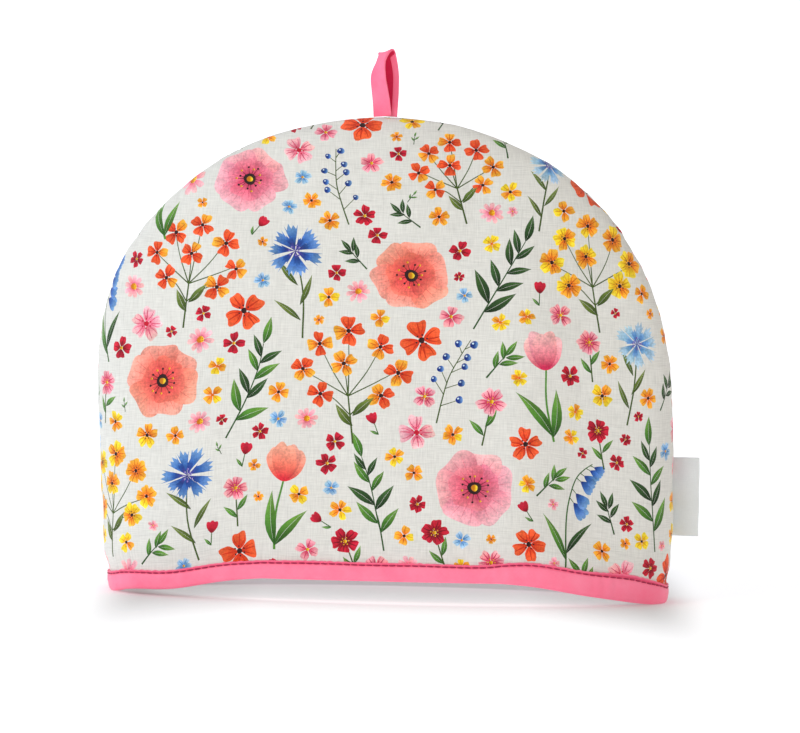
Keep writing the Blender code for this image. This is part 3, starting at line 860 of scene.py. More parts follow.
class Nodes:
    """Short calls for building one node tree."""

    def __init__(self, tree):
        self.tree = tree

    def add(self, kind, inputs=(), output=0, **settings):
        """A new node with some inputs linked or set: the value at one of its outputs."""
        node = self.tree.nodes.new(kind)
        for key, value in settings.items():
            setattr(node, key, value)
        for key, value in inputs.items() if isinstance(inputs, dict) else enumerate(inputs):
            self.put(node, key, value)
        return Value(self, node.outputs[output])

    def put(self, node, key, value):
        """Links an input, or sets a plain value."""
        if isinstance(value, Value):
            self.tree.links.new(value.socket, node.inputs[key])
        else:
            node.inputs[key].default_value = value

    def math(self, operation, a, b=0.0, c=0.0):
        return self.add("ShaderNodeMath", (a, b, c), operation=operation)

    def spread(self, value, low, high, to_low, to_high, **settings):
        return self.add("ShaderNodeMapRange", (value, low, high, to_low, to_high), **settings)

    def soften(self, value, low, high):
        """From 1 below low to 0 above high, easing in and out."""
        return self.spread(value, low, high, 1.0, 0.0, interpolation_type="SMOOTHSTEP")

    def noise_to(self, value, to_low, to_high):
        """Takes the usual range of a noise to other values."""
        return self.spread(value, 0.3, 0.7, to_low, to_high)

    def noise(self, vector, scale, detail=2.0, roughness=0.5):
        inputs = {"Vector": vector, "Scale": scale, "Detail": detail, "Roughness": roughness}
        return self.add("ShaderNodeTexNoise", inputs, "Fac")

    def yarn(self, place, stretch, detail=1.5):
        """Noise drawn out along threads."""
        return self.noise(self.stretched(place, stretch), 1.0, detail)

    def bands(self, place, scale, distortion, direction):
        inputs = {"Vector": place, "Scale": scale, "Distortion": distortion}
        return self.add("ShaderNodeTexWave", inputs, "Fac", wave_type="BANDS",
                        bands_direction=direction)

    def stretched(self, vector, scale):
        return self.add("ShaderNodeVectorMath", (vector, scale), operation="MULTIPLY")

    def tinted(self, colour, factor):
        """A colour made lighter or darker by a factor."""
        return self.add("ShaderNodeVectorMath", {0: colour, "Scale": factor}, operation="SCALE")

    def mixed(self, factor, first, second):
        return self.add("ShaderNodeMix", {0: factor, 6: first, 7: second}, 2, data_type="RGBA")

    def attribute(self, name, output="Fac"):
        return self.add("ShaderNodeAttribute", output=output, attribute_name=name)

    def uv_mm(self, scale):
        """Places on the cloth, from the unit square to millimetres."""
        return self.stretched(self.add("ShaderNodeUVMap", uv_map="OFBake"), (scale, scale, 1.0))

    def object_place(self):
        return self.add("ShaderNodeTexCoord", output="Object")

    def object_mm(self):
        return self.stretched(self.object_place(), (1000.0, 1000.0, 1000.0))

    def bump(self, height, strength, distance, **more):
        inputs = {"Height": height, "Strength": strength, "Distance": distance, **more}
        return self.add("ShaderNodeBump", inputs)


class Material(Nodes):
    """A node tree with one shader."""

    def __init__(self, name):
        self.material = bpy.data.materials.new(name)
        self.material.use_nodes = True
        super().__init__(self.material.node_tree)
        self.tree.nodes.clear()
        out = self.tree.nodes.new("ShaderNodeOutputMaterial")
        self.shader = self.tree.nodes.new("ShaderNodeBsdfPrincipled")
        self.tree.links.new(self.shader.outputs[0], out.inputs[0])

    def finish(self, colour, roughness, normal, sheen, sheen_roughness, sheen_tint, specular):
        self.put(self.shader, "Base Color", colour)
        self.put(self.shader, "Roughness", roughness)
        self.put(self.shader, "Normal", normal)
        self.shader.inputs["Sheen Weight"].default_value = sheen
        self.shader.inputs["Sheen Roughness"].default_value = sheen_roughness
        self.shader.inputs["Sheen Tint"].default_value = (*sheen_tint, 1.0)
        self.shader.inputs["Specular IOR Level"].default_value = specular
        return self.material


LINING_COLOUR = linear(222, 219, 208)
PINK_DEEP = linear(255, 120, 153)
PINK_LIGHT = linear(255, 134, 165)
# Painted shade for the stitched groove and lip of the binding.
BINDING_GROOVE_SHADE_COLOUR = linear(222, 50, 98)
TAPE_DEEP = linear(255, 110, 145)
TAPE_LIGHT = linear(255, 128, 161)
# Painted shade for the tape's inner side, where the other leg shades it.
TAPE_SHADE_COLOUR = linear(206, 20, 70)
THREAD_DEEP = linear(140, 8, 52)
THREAD_LIGHT = linear(196, 30, 90)
LABEL_COLOUR = linear(226, 231, 232)
WHITE = (1.0, 1.0, 1.0)
COTTON_SHEEN = (1.0, 0.98, 0.94)
PINK_SHEEN = (1.0, 0.8, 0.84)
THREAD_SHEEN = (1.0, 0.7, 0.75)
# A painted glow: the pink pieces give off their own colour at this strength whatever the lamps, so
# that they look brighter than plain reflection allows.
PINK_PAINTED_GLOW = 0.09
# The UV square is this wide in millimetres of printed cloth, and of lining.
PRINT_UV_MM, LINING_UV_MM = 370.0, 1233.0
COTTON_THREAD_MM = 0.6
LINING_THREAD_MM = 0.55
PINK_THREAD_MM = 0.38


def weave(nodes, place, pitch):
    """Threads both ways of a plain weave and its slubs, both from 0 to 1.

    place is in millimetres and pitch is one thread's width.
    """
    fine = 1.0 / pitch
    warp = nodes.yarn(place, (fine, fine * 0.07, 1.0))
    weft = nodes.yarn(place, (fine * 0.07, fine, 1.0))
    slub = nodes.yarn(place, (fine * 0.022, fine * 0.5, 1.0), 1.0)
    slub_up = nodes.yarn(place, (fine * 0.45, fine * 0.018, 3.0), 1.0)
    thick = nodes.math("MAXIMUM", nodes.spread(slub, 0.6, 0.74, 0.0, 1.0),
                       nodes.spread(slub_up, 0.62, 0.76, 0.0, 1.0))
    return (warp + weft) * 0.5, thick


def print_material():
    nodes = Material("printed_cotton")
    place = nodes.uv_mm(PRINT_UV_MM)
    threads, slubs = weave(nodes, place, COTTON_THREAD_MM)
    puddles = nodes.noise(place, 0.16, 3.0, 0.6) + nodes.noise(place, 0.75, 2.0, 0.6) * 0.8
    puddles = nodes.spread(puddles, 0.62, 1.18, 0.72, 1.3)
    wash = nodes.math("ADD", 1.0, nodes.attribute("wash") * (puddles - 1.0))
    cloth = nodes.noise_to(threads, 0.87, 1.1) - slubs * 0.07
    patch = nodes.noise_to(nodes.noise(place, 0.02, 2.0), 0.985, 1.015)
    colour = nodes.tinted(nodes.attribute("paint", "Color"), wash * cloth * patch)
    normal = nodes.bump(threads + slubs * 0.35, 0.5, 0.00022)
    rough = nodes.noise_to(threads, 0.86, 0.74)
    return nodes.finish(colour, rough, normal, 0.12, 0.5, COTTON_SHEEN, 0.28)


def lining_material():
    nodes = Material("cotton_lining")
    place = nodes.uv_mm(LINING_UV_MM)
    threads, slubs = weave(nodes, place, LINING_THREAD_MM)
    shade = nodes.noise_to(threads, 0.9, 1.05) - slubs * 0.05
    patch = nodes.noise_to(nodes.noise(place, 0.03, 3.0), 0.96, 1.03)
    colour = nodes.tinted(nodes.attribute("paint", "Color"), shade * patch)
    rough = nodes.noise_to(threads, 0.9, 0.8)
    return nodes.finish(colour, rough, nodes.bump(threads, 0.5, 0.00025), 0.15, 0.5,
                        COTTON_SHEEN, 0.25)


def pink_material(name, deep, light, inside):
    """Fine plain cotton in pink: diagonal threads of bias-cut tape, wear and sheen.

    inside is the darker colour of painted shade, mixed in where the pieces' shade attribute marks a
    shaded groove or side.
    """
    nodes = Material(name)
    place = nodes.object_mm()
    bias = nodes.add("ShaderNodeVectorRotate", {"Vector": place, "Angle": math.radians(45)},
                     rotation_type="Y_AXIS")
    fine = 1.0 / PINK_THREAD_MM
    warp = nodes.yarn(bias, (fine, fine * 0.1, fine * 0.1))
    weft = nodes.yarn(bias, (fine * 0.1, fine * 0.1, fine))
    threads = (warp + weft) * 0.5
    broad = nodes.noise(place, 0.09, 3.0, 0.55)
    colour = nodes.mixed(nodes.noise_to(broad, 0.0, 1.0), (*deep, 1.0), (*light, 1.0))
    # Painted shade: a darker colour mixed in at shaded grooves and sides.
    colour = nodes.mixed(nodes.attribute("painted_shade"), colour, (*inside, 1.0))
    colour = nodes.tinted(colour, nodes.noise_to(threads, 0.95, 1.04))
    normal = nodes.bump(threads, 0.4, 0.00015, Normal=nodes.bump(broad, 0.12, 0.0012))
    # A painted glow: the pink gives off its own colour under any lamp.
    nodes.put(nodes.shader, "Emission Color", colour)
    nodes.shader.inputs["Emission Strength"].default_value = PINK_PAINTED_GLOW
    rough = nodes.noise_to(threads, 0.78, 0.64)
    return nodes.finish(colour, rough, normal, 0.25, 0.4, PINK_SHEEN, 0.32)


def thread_material():
    nodes = Material("crimson_thread")
    place = nodes.object_mm()
    fuzz = nodes.noise(place, 4.0, 2.0)
    both = nodes.bands(place, 1.1, 0.8, "DIAGONAL") * 0.7 + fuzz * 0.3
    colour = nodes.mixed(both, (*THREAD_DEEP, 1.0), (*THREAD_LIGHT, 1.0))
    return nodes.finish(colour, nodes.noise_to(fuzz, 0.5, 0.7), nodes.bump(both, 0.6, 0.00012),
                        0.2, 0.4, THREAD_SHEEN, 0.4)


def label_material():
    nodes = Material("woven_label")
    place = nodes.object_mm()
    along = nodes.yarn(place, (3.2, 3.2, 0.3))
    weft = nodes.yarn(place, (0.25, 0.25, 3.4))
    ribbed = nodes.bands(place, 0.62, 0.25, "Z") * 0.35 + (along + weft) * 0.33
    soil = nodes.noise_to(nodes.noise(place, 0.08, 3.0), 0.97, 1.02)
    colour = nodes.tinted((*LABEL_COLOUR,), nodes.spread(ribbed, 0.3, 0.75, 0.91, 1.03) * soil)
    return nodes.finish(colour, nodes.noise_to(along, 0.62, 0.44), nodes.bump(ribbed, 0.5, 0.0002),
                        0.15, 0.35, WHITE, 0.45)


PRINT = print_material()
LINING = lining_material()
BINDING = pink_material("pink_binding", PINK_DEEP, PINK_LIGHT, BINDING_GROOVE_SHADE_COLOUR)
TAPE = pink_material("pink_tape", TAPE_DEEP, TAPE_LIGHT, TAPE_SHADE_COLOUR)
THREAD = thread_material()
LABEL = label_material()


# --- panels: a painted skin, the lining and the rims between them -----------------------------

SKIN_PITCH_MM = 3.4
SEAM_ROWS_MM = (0.7, 1.6, 2.7, 4.0, 5.6)
SEAM_STEP_MM = 2.2
HEM_ROWS_MM = (2.4, 4.8)
HEM_STEP_MM = 2.6
HEM_REACH_MM = 170
CLEAR_OF_PAINT_MM = 0.9
LINING_PITCH_MM = 6.0
# How far points stay inside the outline, in millimetres: seam rows, lattice, hem rows, lining.
SEAM_ROWS_INSIDE, LATTICE_INSIDE, HEM_ROWS_INSIDE, LINING_INSIDE = 0.45, 6.6, 1.2, 3.0
NORMAL_STEP = 0.25 * MM
# Where a ramp's middle colour comes, and what is left after it.
RAMP_MIDDLE, RAMP_REST = 0.42, 0.58
# The UV square's side in metres of printed cloth, and the lining's scale in it; then where
# the skin, the lining and the rims start in the square, and how far the rims reach.
BAKE_SPAN = 0.37
LINING_SHARE = 0.3
SKIN_UV, LINING_UV, RIM_UV, RIM_UV_SIZE = (0.5, 0.01), (0.25, 0.77), (0.6, 0.8), (0.38, 0.18)


def even_line(points, step):
    """The polyline through the points, walked again in equal steps."""
    points = np.asarray(points, float)
    run = run_of(*points.T)
    at = np.linspace(0, run[-1], max(int(round(run[-1] / step)), 2) + 1)
    return xy(*(np.interp(at, run, part) for part in points.T))


def flat_seams():
    """The flat panel's right seam upwards and its left seam downwards, in millimetres."""
    return xy(REACH[1], UP) / MM, xy(-REACH[0], UP)[::-1] / MM


def flat_outline():
    """The flat panel in millimetres: along the hem, up the right seam and down the left."""
    up, down = flat_seams()
    hem = even_line([down[-1], up[0]], HEM_STEP_MM)
    sides = (even_line(line, SEAM_STEP_MM)[:-1] for line in (up, down))
    return np.vstack([hem[:-1], *sides])


def seam_rows():
    """Points in rows close to the seams, where the cloth turns most."""
    outline = even_line(np.vstack(flat_seams()), SEAM_STEP_MM)
    return np.vstack([outline + sideways(outline) * row for row in SEAM_ROWS_MM])


def hex_points(pitch):
    """Points of a triangle lattice over the flat panel, in millimetres."""
    points = []
    for k, up in enumerate(np.arange(0, CLOTH_HEIGHT / MM, pitch * math.sqrt(3) / 2)):
        across = np.arange(-CLOTH_LEFT / MM - pitch, CLOTH_RIGHT / MM + pitch, pitch)
        points.append(xy(across + 0.5 * pitch * (k % 2), np.full(len(across), up)))
    return np.vstack(points)


def inside_outline(points, margin):
    """The points that lie inside the flat panel by more than a margin."""
    across, up = points.T
    left, right = (np.interp(up * MM, UP, reach) / MM for reach in REACH)
    return points[(across < right - margin) & (across > -left + margin) & (up > margin)]


def apart_from(points, others, gap):
    """The points that lie further than gap from all others."""
    cells = {}
    for x, y in others:
        cells.setdefault((int(x // gap), int(y // gap)), []).append((x, y))
    kept = []
    for x, y in points:
        i, j = int(x // gap), int(y // gap)
        near = (q for a in (-1, 0, 1) for b in (-1, 0, 1) for q in cells.get((i + a, j + b), ()))
        if all((x - q[0]) ** 2 + (y - q[1]) ** 2 > gap * gap for q in near):
            kept.append((x, y))
    return np.array(kept).reshape(-1, 2)


def wound_inside(points, ring):
    """Which points lie inside a closed ring, by its winding."""
    x, y = points.T
    inside = np.zeros(len(points), int)
    for (x0, y0), (x1, y1) in zip(ring, np.roll(ring, -1, axis=0)):
        lies_left = (x1 - x0) * (y - y0) - (x - x0) * (y1 - y0)
        inside += (y0 <= y) & (y < y1) & (lies_left > 0)
        inside -= (y1 <= y) & (y < y0) & (lies_left < 0)
    return inside != 0


def topmost(points, rings):
    """The number of the last ring that each point lies in, from 1, or 0 for none."""
    order = np.argsort(points[:, 1])
    heights = points[order, 1]
    owner = np.zeros(len(points), int)
    for k, ring in enumerate(rings):
        low, high = ring.min(axis=0), ring.max(axis=0)
        rows = order[np.searchsorted(heights, low[1]) : np.searchsorted(heights, high[1])]
        rows = rows[(points[rows, 0] >= low[0]) & (points[rows, 0] <= high[0])]
        owner[rows[wound_inside(points[rows], ring)]] = k + 1
    return owner


def triangulate(outline, faces, loose):
    """Triangles of an outline with faces drawn in it, and the topmost face of each one.

    Also returns, for each point, which of the given points it came from.
    """
    loops = [outline] + faces
    points = np.vstack(loops + [loose])
    starts = np.cumsum([0] + [len(loop) for loop in loops])
    edges = [(a, a + 1 if a + 1 < end else start)
             for start, end in zip(starts, starts[1:]) for a in range(start, end)]
    verts, _, triangles, came_from, _, _ = delaunay_2d_cdt(
        [Vector(point) for point in points], edges, [], 0, 1e-4, True)
    flat = np.array([(vert[0], vert[1]) for vert in verts])
    corners = np.array(triangles)
    corners = corners[wound_inside(flat[corners].mean(axis=1), outline)]
    used, corners = np.unique(corners, return_inverse=True)
    corners = corners.reshape(-1, 3)
    flat = flat[used]
    a, b, c = (flat[corners[:, k]] for k in range(3))
    area = (b[:, 0] - a[:, 0]) * (c[:, 1] - a[:, 1]) - (b[:, 1] - a[:, 1]) * (c[:, 0] - a[:, 0])
    corners[area < 0] = corners[area < 0][:, ::-1]
    owners = topmost(flat[corners].mean(axis=1), faces)
    return flat, corners, owners, [came_from[old] for old in used]


def border_loop(corners):
    """The vertices around the border of a set of triangles, counter-clockwise."""
    seen = {}
    for a, b, c in corners.tolist():
        for start, end in ((a, b), (b, c), (c, a)):
            if (end, start) in seen:
                del seen[(end, start)]
            else:
                seen[(start, end)] = True
    follow = dict(seen.keys())
    loop = [next(iter(follow))]
    while follow[loop[-1]] != loop[0]:
        loop.append(follow[loop[-1]])
    return loop


def skin_normals(flat, side):
    """Points of the outer face and its normals, from the slopes of the shape itself."""
    across, up = flat.T * MM
    low, high = np.maximum(up - NORMAL_STEP, 0), np.minimum(up + NORMAL_STEP, CLOTH_HEIGHT)
    toward_x = (outer_cloth(across + NORMAL_STEP, up, side)
                - outer_cloth(across - NORMAL_STEP, up, side))
    toward_z = outer_cloth(across, high, side) - outer_cloth(across, low, side)
    normal = np.cross(toward_x, toward_z) * -side
    size = np.linalg.norm(normal, axis=1, keepdims=True)
    return outer_cloth(across, up, side), np.where(
        size > 1e-12, normal / np.maximum(size, 1e-12), (0.0, side, 0.0))


def ramp(colours, t):
    """Three colours blended along t."""
    t = np.clip(t, 0.0, 1.0)[:, None]
    low, middle, high = (np.asarray(colour) for colour in colours)
    first = np.clip(t / RAMP_MIDDLE, 0.0, 1.0)
    second = np.clip((t - RAMP_MIDDLE) / RAMP_REST, 0.0, 1.0)
    before = low + (middle - low) * first
    return np.where(t < RAMP_MIDDLE, before, middle + (high - middle) * second)


def paint_corners(flat, corners, owners, sources, shapes, outline_size):
    """The colour and the wash of each triangle corner."""
    colour = np.empty((len(corners), 3, 3))
    wash = np.zeros((len(corners), 3))
    on_paint = np.array([not source or max(source) >= outline_size for source in sources])
    ground = owners == 0
    colour[ground] = np.where(on_paint[corners[ground]][..., None], HALO, GROUND)
    order = np.argsort(owners, kind="stable")
    bounds = np.searchsorted(owners[order], np.arange(1, len(shapes) + 2))
    for k, (_, start, end, colours, shape_wash) in enumerate(shapes):
        rows = order[bounds[k] : bounds[k + 1]]
        axis = end - start
        t = (flat[corners[rows]] - start) @ axis / max(float(axis @ axis), TINY)
        colour[rows] = ramp(colours, t.ravel()).reshape(-1, 3, 3)
        wash[rows] = shape_wash
    return colour, wash


def corner_colours(mesh, name, values, rest):
    """Three values for each of the mesh's first corners, and the same ones for the rest."""
    rgba = np.ones((len(mesh.loops), 4), np.float32)
    rgba[:, :3] = rest
    rgba[: len(values), :3] = values
    layer = mesh.color_attributes.new(name, "FLOAT_COLOR", "CORNER")
    layer.data.foreach_set("color", rgba.ravel())


def linked(name, mesh):
    thing = bpy.data.objects.new(name, mesh)
    bpy.context.scene.collection.objects.link(thing)
    return thing


def add_panel_shell(name, side, shapes):
    """A padded panel: printed outside, lining inside, and the rims along seam and hem."""
    outline = flat_outline()
    faces = [shape[0] for shape in shapes]
    painted = np.vstack(faces)
    rows = apart_from(inside_outline(seam_rows(), SEAM_ROWS_INSIDE), painted,
                      0.6 * CLEAR_OF_PAINT_MM)
    lattice = inside_outline(hex_points(SKIN_PITCH_MM), LATTICE_INSIDE)
    along_hem = np.arange(-HEM_REACH_MM, HEM_REACH_MM, HEM_STEP_MM)
    hem_rows = np.vstack([xy(along_hem, np.full(len(along_hem), up)) for up in HEM_ROWS_MM])
    hem_rows = inside_outline(hem_rows, HEM_ROWS_INSIDE)
    loose = np.vstack([rows] + [apart_from(part, painted, CLEAR_OF_PAINT_MM)
                                for part in (lattice, hem_rows)])
    flat, corners, owners, sources = triangulate(outline, faces, loose)
    border = border_loop(corners)
    colour, wash = paint_corners(flat, corners, owners, sources, shapes, len(outline))
    points, normals = skin_normals(flat, side)

    inner_loose = inside_outline(hex_points(LINING_PITCH_MM), LINING_INSIDE)
    inner_flat, inner_corners, _, inner_sources = triangulate(flat[border], [], inner_loose)
    inner_of = {s: k + len(points) for k, source in enumerate(inner_sources) for s in source}
    rims = [(border[(k + 1) % len(border)], outer, inner_of[k], inner_of[(k + 1) % len(border)])
            for k, outer in enumerate(border)]
    triangles = corners.tolist()
    lining = (inner_corners + len(points))[:, ::-1].tolist()
    if side == BACK:
        triangles, lining, rims = (
            [face[::-1] for face in part] for part in (triangles, lining, rims))
        colour, wash = colour[:, ::-1], wash[:, ::-1]

    mesh = bpy.data.meshes.new(name)
    verts = np.vstack([points, inner_cloth(*(inner_flat.T * MM), side)])
    mesh.from_pydata(verts.tolist(), [], triangles + lining + rims)
    mesh.materials.append(PRINT)
    mesh.materials.append(LINING)
    count = len(triangles)
    mesh.polygons.foreach_set("material_index", [0] * count + [1] * (len(lining) + len(rims)))
    mesh.polygons.foreach_set("use_smooth", [True] * (count + len(lining)) + [False] * len(rims))
    corner_colours(mesh, "paint", colour.reshape(-1, 3), LINING_COLOUR)
    corner_colours(mesh, "wash", wash.reshape(-1, 1), 0.0)

    skin_end, lining_end = 3 * count, 3 * (count + len(lining))
    at = np.empty(len(mesh.loops), np.int32)
    mesh.loops.foreach_get("vertex_index", at)
    all_flat = np.vstack([flat, inner_flat]) * MM
    rim_rows = np.arange(len(at) - lining_end) // 4 / max(len(rims), 1)
    on_border = np.where(np.isin(at[lining_end:], border), 0.0, 1.0)
    uv = np.vstack([SKIN_UV + all_flat[at[:skin_end]] / BAKE_SPAN,
                    LINING_UV + LINING_SHARE * all_flat[at[skin_end:lining_end]] / BAKE_SPAN,
                    RIM_UV + xy(rim_rows, on_border) * RIM_UV_SIZE]).astype(np.float32)
    mesh.uv_layers.new(name="OFBake").data.foreach_set("uv", uv.ravel())

    mesh.validate()
    mesh.update()
    panel = linked(name, mesh)
    # Own normals on the printed skin, and the mesh's on the rest.
    plain = np.empty(len(at) * 3, np.float32)
    mesh.corner_normals.foreach_get("vector", plain)
    plain = plain.reshape(-1, 3)
    plain[:skin_end] = normals[at[:skin_end]]
    mesh.normals_split_custom_set(plain.tolist())
    return panel


# --- binding, stitches, loop and label --------------------------------------------------------

RING_STEP = 1.0 * MM
RING_LENGTH = 720 * MM
RING_WAVES = 6
RING_UV_EDGE, RING_UV_SPAN = 0.01, 0.98
# How much of the outside's uneven height the binding's inner half takes.
INNER_RISE = 0.6
STITCH_DROP = 1.5 * MM
STITCH_PITCH = 4.0 * MM
STITCH_LENGTH = 3.6 * MM
STITCH_RADIUS = 0.42 * MM
STITCH_AWAY_MM = 2.3
STITCH_SWAY = 0.12
STITCH_SLANT = 0.08
# A stitch: share of its length and of its radius at each ring of points, and a ring's points.
STITCH_RINGS = ((0.0, 0.25), (0.1, 0.8), (0.35, 1.0), (0.65, 1.0), (0.9, 0.8), (1.0, 0.25))
STITCH_SIDES = 6
STITCH_BOW = 0.7

# The binding: offset from the hem's middle in millimetres and share of its height.
BINDING_OUTSIDE = (
    (1.8, 0.955), (2.05, 0.99), (2.42, 1.0), (2.74, 0.98), (2.78, 0.935), (2.5, 0.885),
    (2.26, 0.85), (2.44, 0.81), (2.8, 0.75), (2.94, 0.68), (3.02, 0.6), (3.08, 0.48), (3.02, 0.35),
    (2.86, 0.22), (2.6, 0.12), (2.2, 0.045), (1.7, 0.008), (0.9, 0.0),
)
BINDING_SECTION = np.vstack([BINDING_OUTSIDE, np.array(BINDING_OUTSIDE)[::-1] * (-1, 1),
                             [(-1.8, 0.1), (1.8, 0.1)]])
# Painted shade in the groove that the stitches pull in and on the lip above it: share of the height
# and strength of the shade.
GROOVE_SHADE = ((0.79, 0.81, 0.85, 0.885, 0.98), (0.0, 0.35, 0.8, 0.7, 0.3))
GROOVE_OFFSET_MM = 2.2
# The front binding stands taller from here to its right end, and is uneven there: places
# across and heights, in millimetres.
RIGHT_END_START_MM = 102
RIGHT_END_MM = (
    (102, 112, 124, 136, 143, 150, 157, 163, 170, 177),
    (0.0, 0.1, 0.6, 1.2, 0.8, 0.0, -1.0, -2.0, -3.2, -4.0),
)

# Loop: x, y, height above the dome's top, turn and slant of the tape in degrees.
LOOP_LINE_MM = (
    (-7.3, -1.05, -0.5, 0.0, 0.0),
    (-7.9, -1.9, 6.0, -13.0, 0.0),
    (-9.1, -3.9, 14.0, -26.0, 2.0),
    (-9.9, -4.9, 21.0, -38.0, 6.0),
    (-8.8, -4.0, 28.6, -58.0, 14.0),
    (-6.2, 0.0, 33.8, -42.0, 16.0),
    (-4.9, 3.8, 29.0, -10.0, 10.0),
    (-3.7, 4.7, 21.5, 2.0, 4.0),
    (-3.6, 3.9, 14.0, 4.0, 2.0),
    (-3.9, 1.9, 6.0, 2.0, 0.0),
    (-4.15, 1.05, -0.5, 0.0, 0.0),
)
LOOP_WIDTH = 9.6 * MM
LOOP_CLOTH = 1.15 * MM
LOOP_ROWS = 170
LOOP_RUN_MM = 90
# Around the tape, as shares of its half-width and half-thickness: the side that faces the
# loop's inside first, with its turned edge, then the plain outer side.
TAPE_INSIDE = (
    (-1.0, 0.35), (-0.985, 0.7), (-0.93, 0.92), (-0.84, 0.84), (-0.5, 0.84), (-0.1, 0.84),
    (0.2, 0.84), (0.3, 0.8), (0.35, 1.18), (0.4, 1.36), (0.47, 1.4), (0.6, 1.38), (0.74, 1.36),
    (0.79, 1.18), (0.84, 1.36), (0.93, 1.28), (0.985, 0.85), (1.0, 0.4),
)
TAPE_OUTSIDE = (
    (1.0, -0.35), (0.985, -0.72), (0.93, -0.98), (0.84, -0.98), (0.79, -0.78), (0.73, -0.96),
    (0.4, -1.0), (0.0, -0.97), (-0.4, -1.0), (-0.73, -0.96), (-0.84, -0.98), (-0.93, -0.98),
    (-0.985, -0.72), (-1.0, -0.35),
)
# Painted shade on the tape's inner side, where the front leg shades the back leg: where across the
# tape the shade ends, how much further on the first leg, and where the leg ends along the loop and
# how softly.
SHADE_SIDE_UP_TO, SHADE_LEG_MORE = 0.31, 0.64
SHADE_LEG_END, SHADE_LEG_FADE = 0.575, 0.06

LABEL_BOTTOM = 36.0 * MM
LABEL_TOP = 78.0 * MM
LABEL_REACH = 13.6 * MM
LABEL_CLOTH = 1.0 * MM
LABEL_BOW = 1.2 * MM
LABEL_ROWS = 64
LABEL_STEPS = 15
# The folded end: points, first angle, bulge beyond the reach and share of the half-thickness.
LABEL_FOLD = (6, 0.25, 0.035, 0.5)
# The gap between both layers: how far out it goes and its share of the thickness.
LABEL_GAP = (0.985, 0.34)


def ring_places():
    """Arc places around the hem: along the front, then back along the back panel."""
    low, high = -REACH[0][0], REACH[1][0]
    count = int(round((high - low) / RING_STEP))
    ways = ((low, high), (high, low))
    across = np.concatenate([np.linspace(*way, count, endpoint=False) for way in ways])
    return across, np.repeat((FRONT, BACK), count)


def hem_point(across, side, level, offset):
    """A point at a level near the hem, moved outwards by offset from the hem's middle."""
    x, y, _, normal_x, normal_y = cloth_on_dome(across, level)
    outward = offset - PADDING / 2
    return x, x + outward * normal_x, side * (y + outward * normal_y)


def around_waves(ring, seed, size):
    """Irregular waves that close up around the ring."""
    rng = np.random.default_rng(seed)
    total = np.zeros_like(ring)
    for _ in range(RING_WAVES):
        turns = max(int(round(RING_LENGTH / size * rng.uniform(0.6, 1.5))), 1)
        total += np.sin(FULL_TURN * turns * ring + rng.uniform(0, FULL_TURN))
    return total / math.sqrt(RING_WAVES)


def binding_rise(across, side):
    """How much taller or lower the binding stands than its nominal height."""
    x_mm = across / MM
    tall = 0.5 + 3.1 * hump(np.minimum(x_mm, RIGHT_END_START_MM), RIGHT_END_START_MM, 36, 4)
    tall += np.interp(x_mm, *RIGHT_END_MM)
    front = tall + 0.3 * np.sin(x_mm / 13.0 + 0.6) * np.sin(x_mm / 31.0)
    back = -0.2 + 0.45 * np.sin(x_mm / 17.0) * np.sin(x_mm / 37.0 + 1.0)
    meet = smooth_step(np.minimum(across + REACH[0][0], REACH[1][0] - across) / (12 * MM))
    return np.where(side == FRONT, front, back) * meet * MM


def painted_shade_value(piece, values):
    """How much painted shade each point of a pink piece takes."""
    painted_shade = piece.data.attributes.new("painted_shade", "FLOAT", "POINT")
    painted_shade.data.foreach_set("value", np.asarray(values, np.float32))


def binding_mesh():
    """The binding's grid of points: a ring around the hem for each point of its section."""
    across, side = ring_places()
    x_mm, front = across / MM, side == FRONT
    ring = np.arange(len(across)) / len(across)
    rise = binding_rise(across, side)
    wrinkle = 0.09 * around_waves(ring, 5, 7.5 * MM) + 0.12 * around_waves(ring, 6, 23 * MM)
    edge = 0.16 * around_waves(ring, 9, 5 * MM)
    fold = 0.45 * hump(x_mm, 104, 24) * ((np.abs(across - 118 * MM) < 40 * MM) & front)
    long_fold = 0.1 + 0.3 * hump(x_mm, 98, 42) * front
    points = []
    for offset, share in BINDING_SECTION:
        outer = offset > 0
        height = BINDING_HEIGHT * share + rise * smooth_step(share) * (1.0 if outer else INNER_RISE)
        belly = math.sin(math.pi * share)
        away = abs(offset)
        if away > STITCH_AWAY_MM:
            lean = 0.5 * around_waves(ring + 0.006 * share, 7 if outer else 8, 11 * MM)
            away = away + (wrinkle + 0.1 * lean) * belly**0.6
        away = away + fold * belly
        if outer:
            away = away + (-0.55 * fold * hump(share, 0.62, 0.12)
                           - long_fold * hump(share, 0.35, 0.06))
        level = np.maximum(height - HEM_SEAT, 0.0)
        plain_x, x, y = hem_point(across, side, level, np.sign(offset) * (away * MM))
        uneven = edge * smooth_step((share - 0.8) / 0.2) * MM
        z = np.maximum(lift(plain_x, height + uneven, 0.0, side), 0.0)
        points.append(np.stack([x + SHIFT_X, y, z], axis=-1))
    return np.stack(points)


def grid_faces(rows, columns, closed=False):
    """Quads of a grid that closes up along each row, and from the last row to the first."""
    count = rows if closed else rows - 1
    i, j = np.meshgrid(np.arange(count), np.arange(columns), indexing="ij")
    here, there = i * columns, (i + 1) % rows * columns
    after = (j + 1) % columns
    return np.stack([here + j, there + j, there + after, here + after], axis=-1).reshape(-1, 4)


def turned_over(faces):
    """The same quads seen from their other side."""
    return faces[:, [0, 3, 2, 1]]


def end_faces(rows, columns):
    """The two faces that close a tube's ends."""
    first = list(range(columns))
    return [first[::-1], [corner + (rows - 1) * columns for corner in first]]


def facing_out(mesh):
    """Turns all faces outwards on a closed mesh."""
    work = bmesh.new()
    work.from_mesh(mesh)
    bmesh.ops.recalc_face_normals(work, faces=work.faces[:])
    work.to_mesh(mesh)
    work.free()


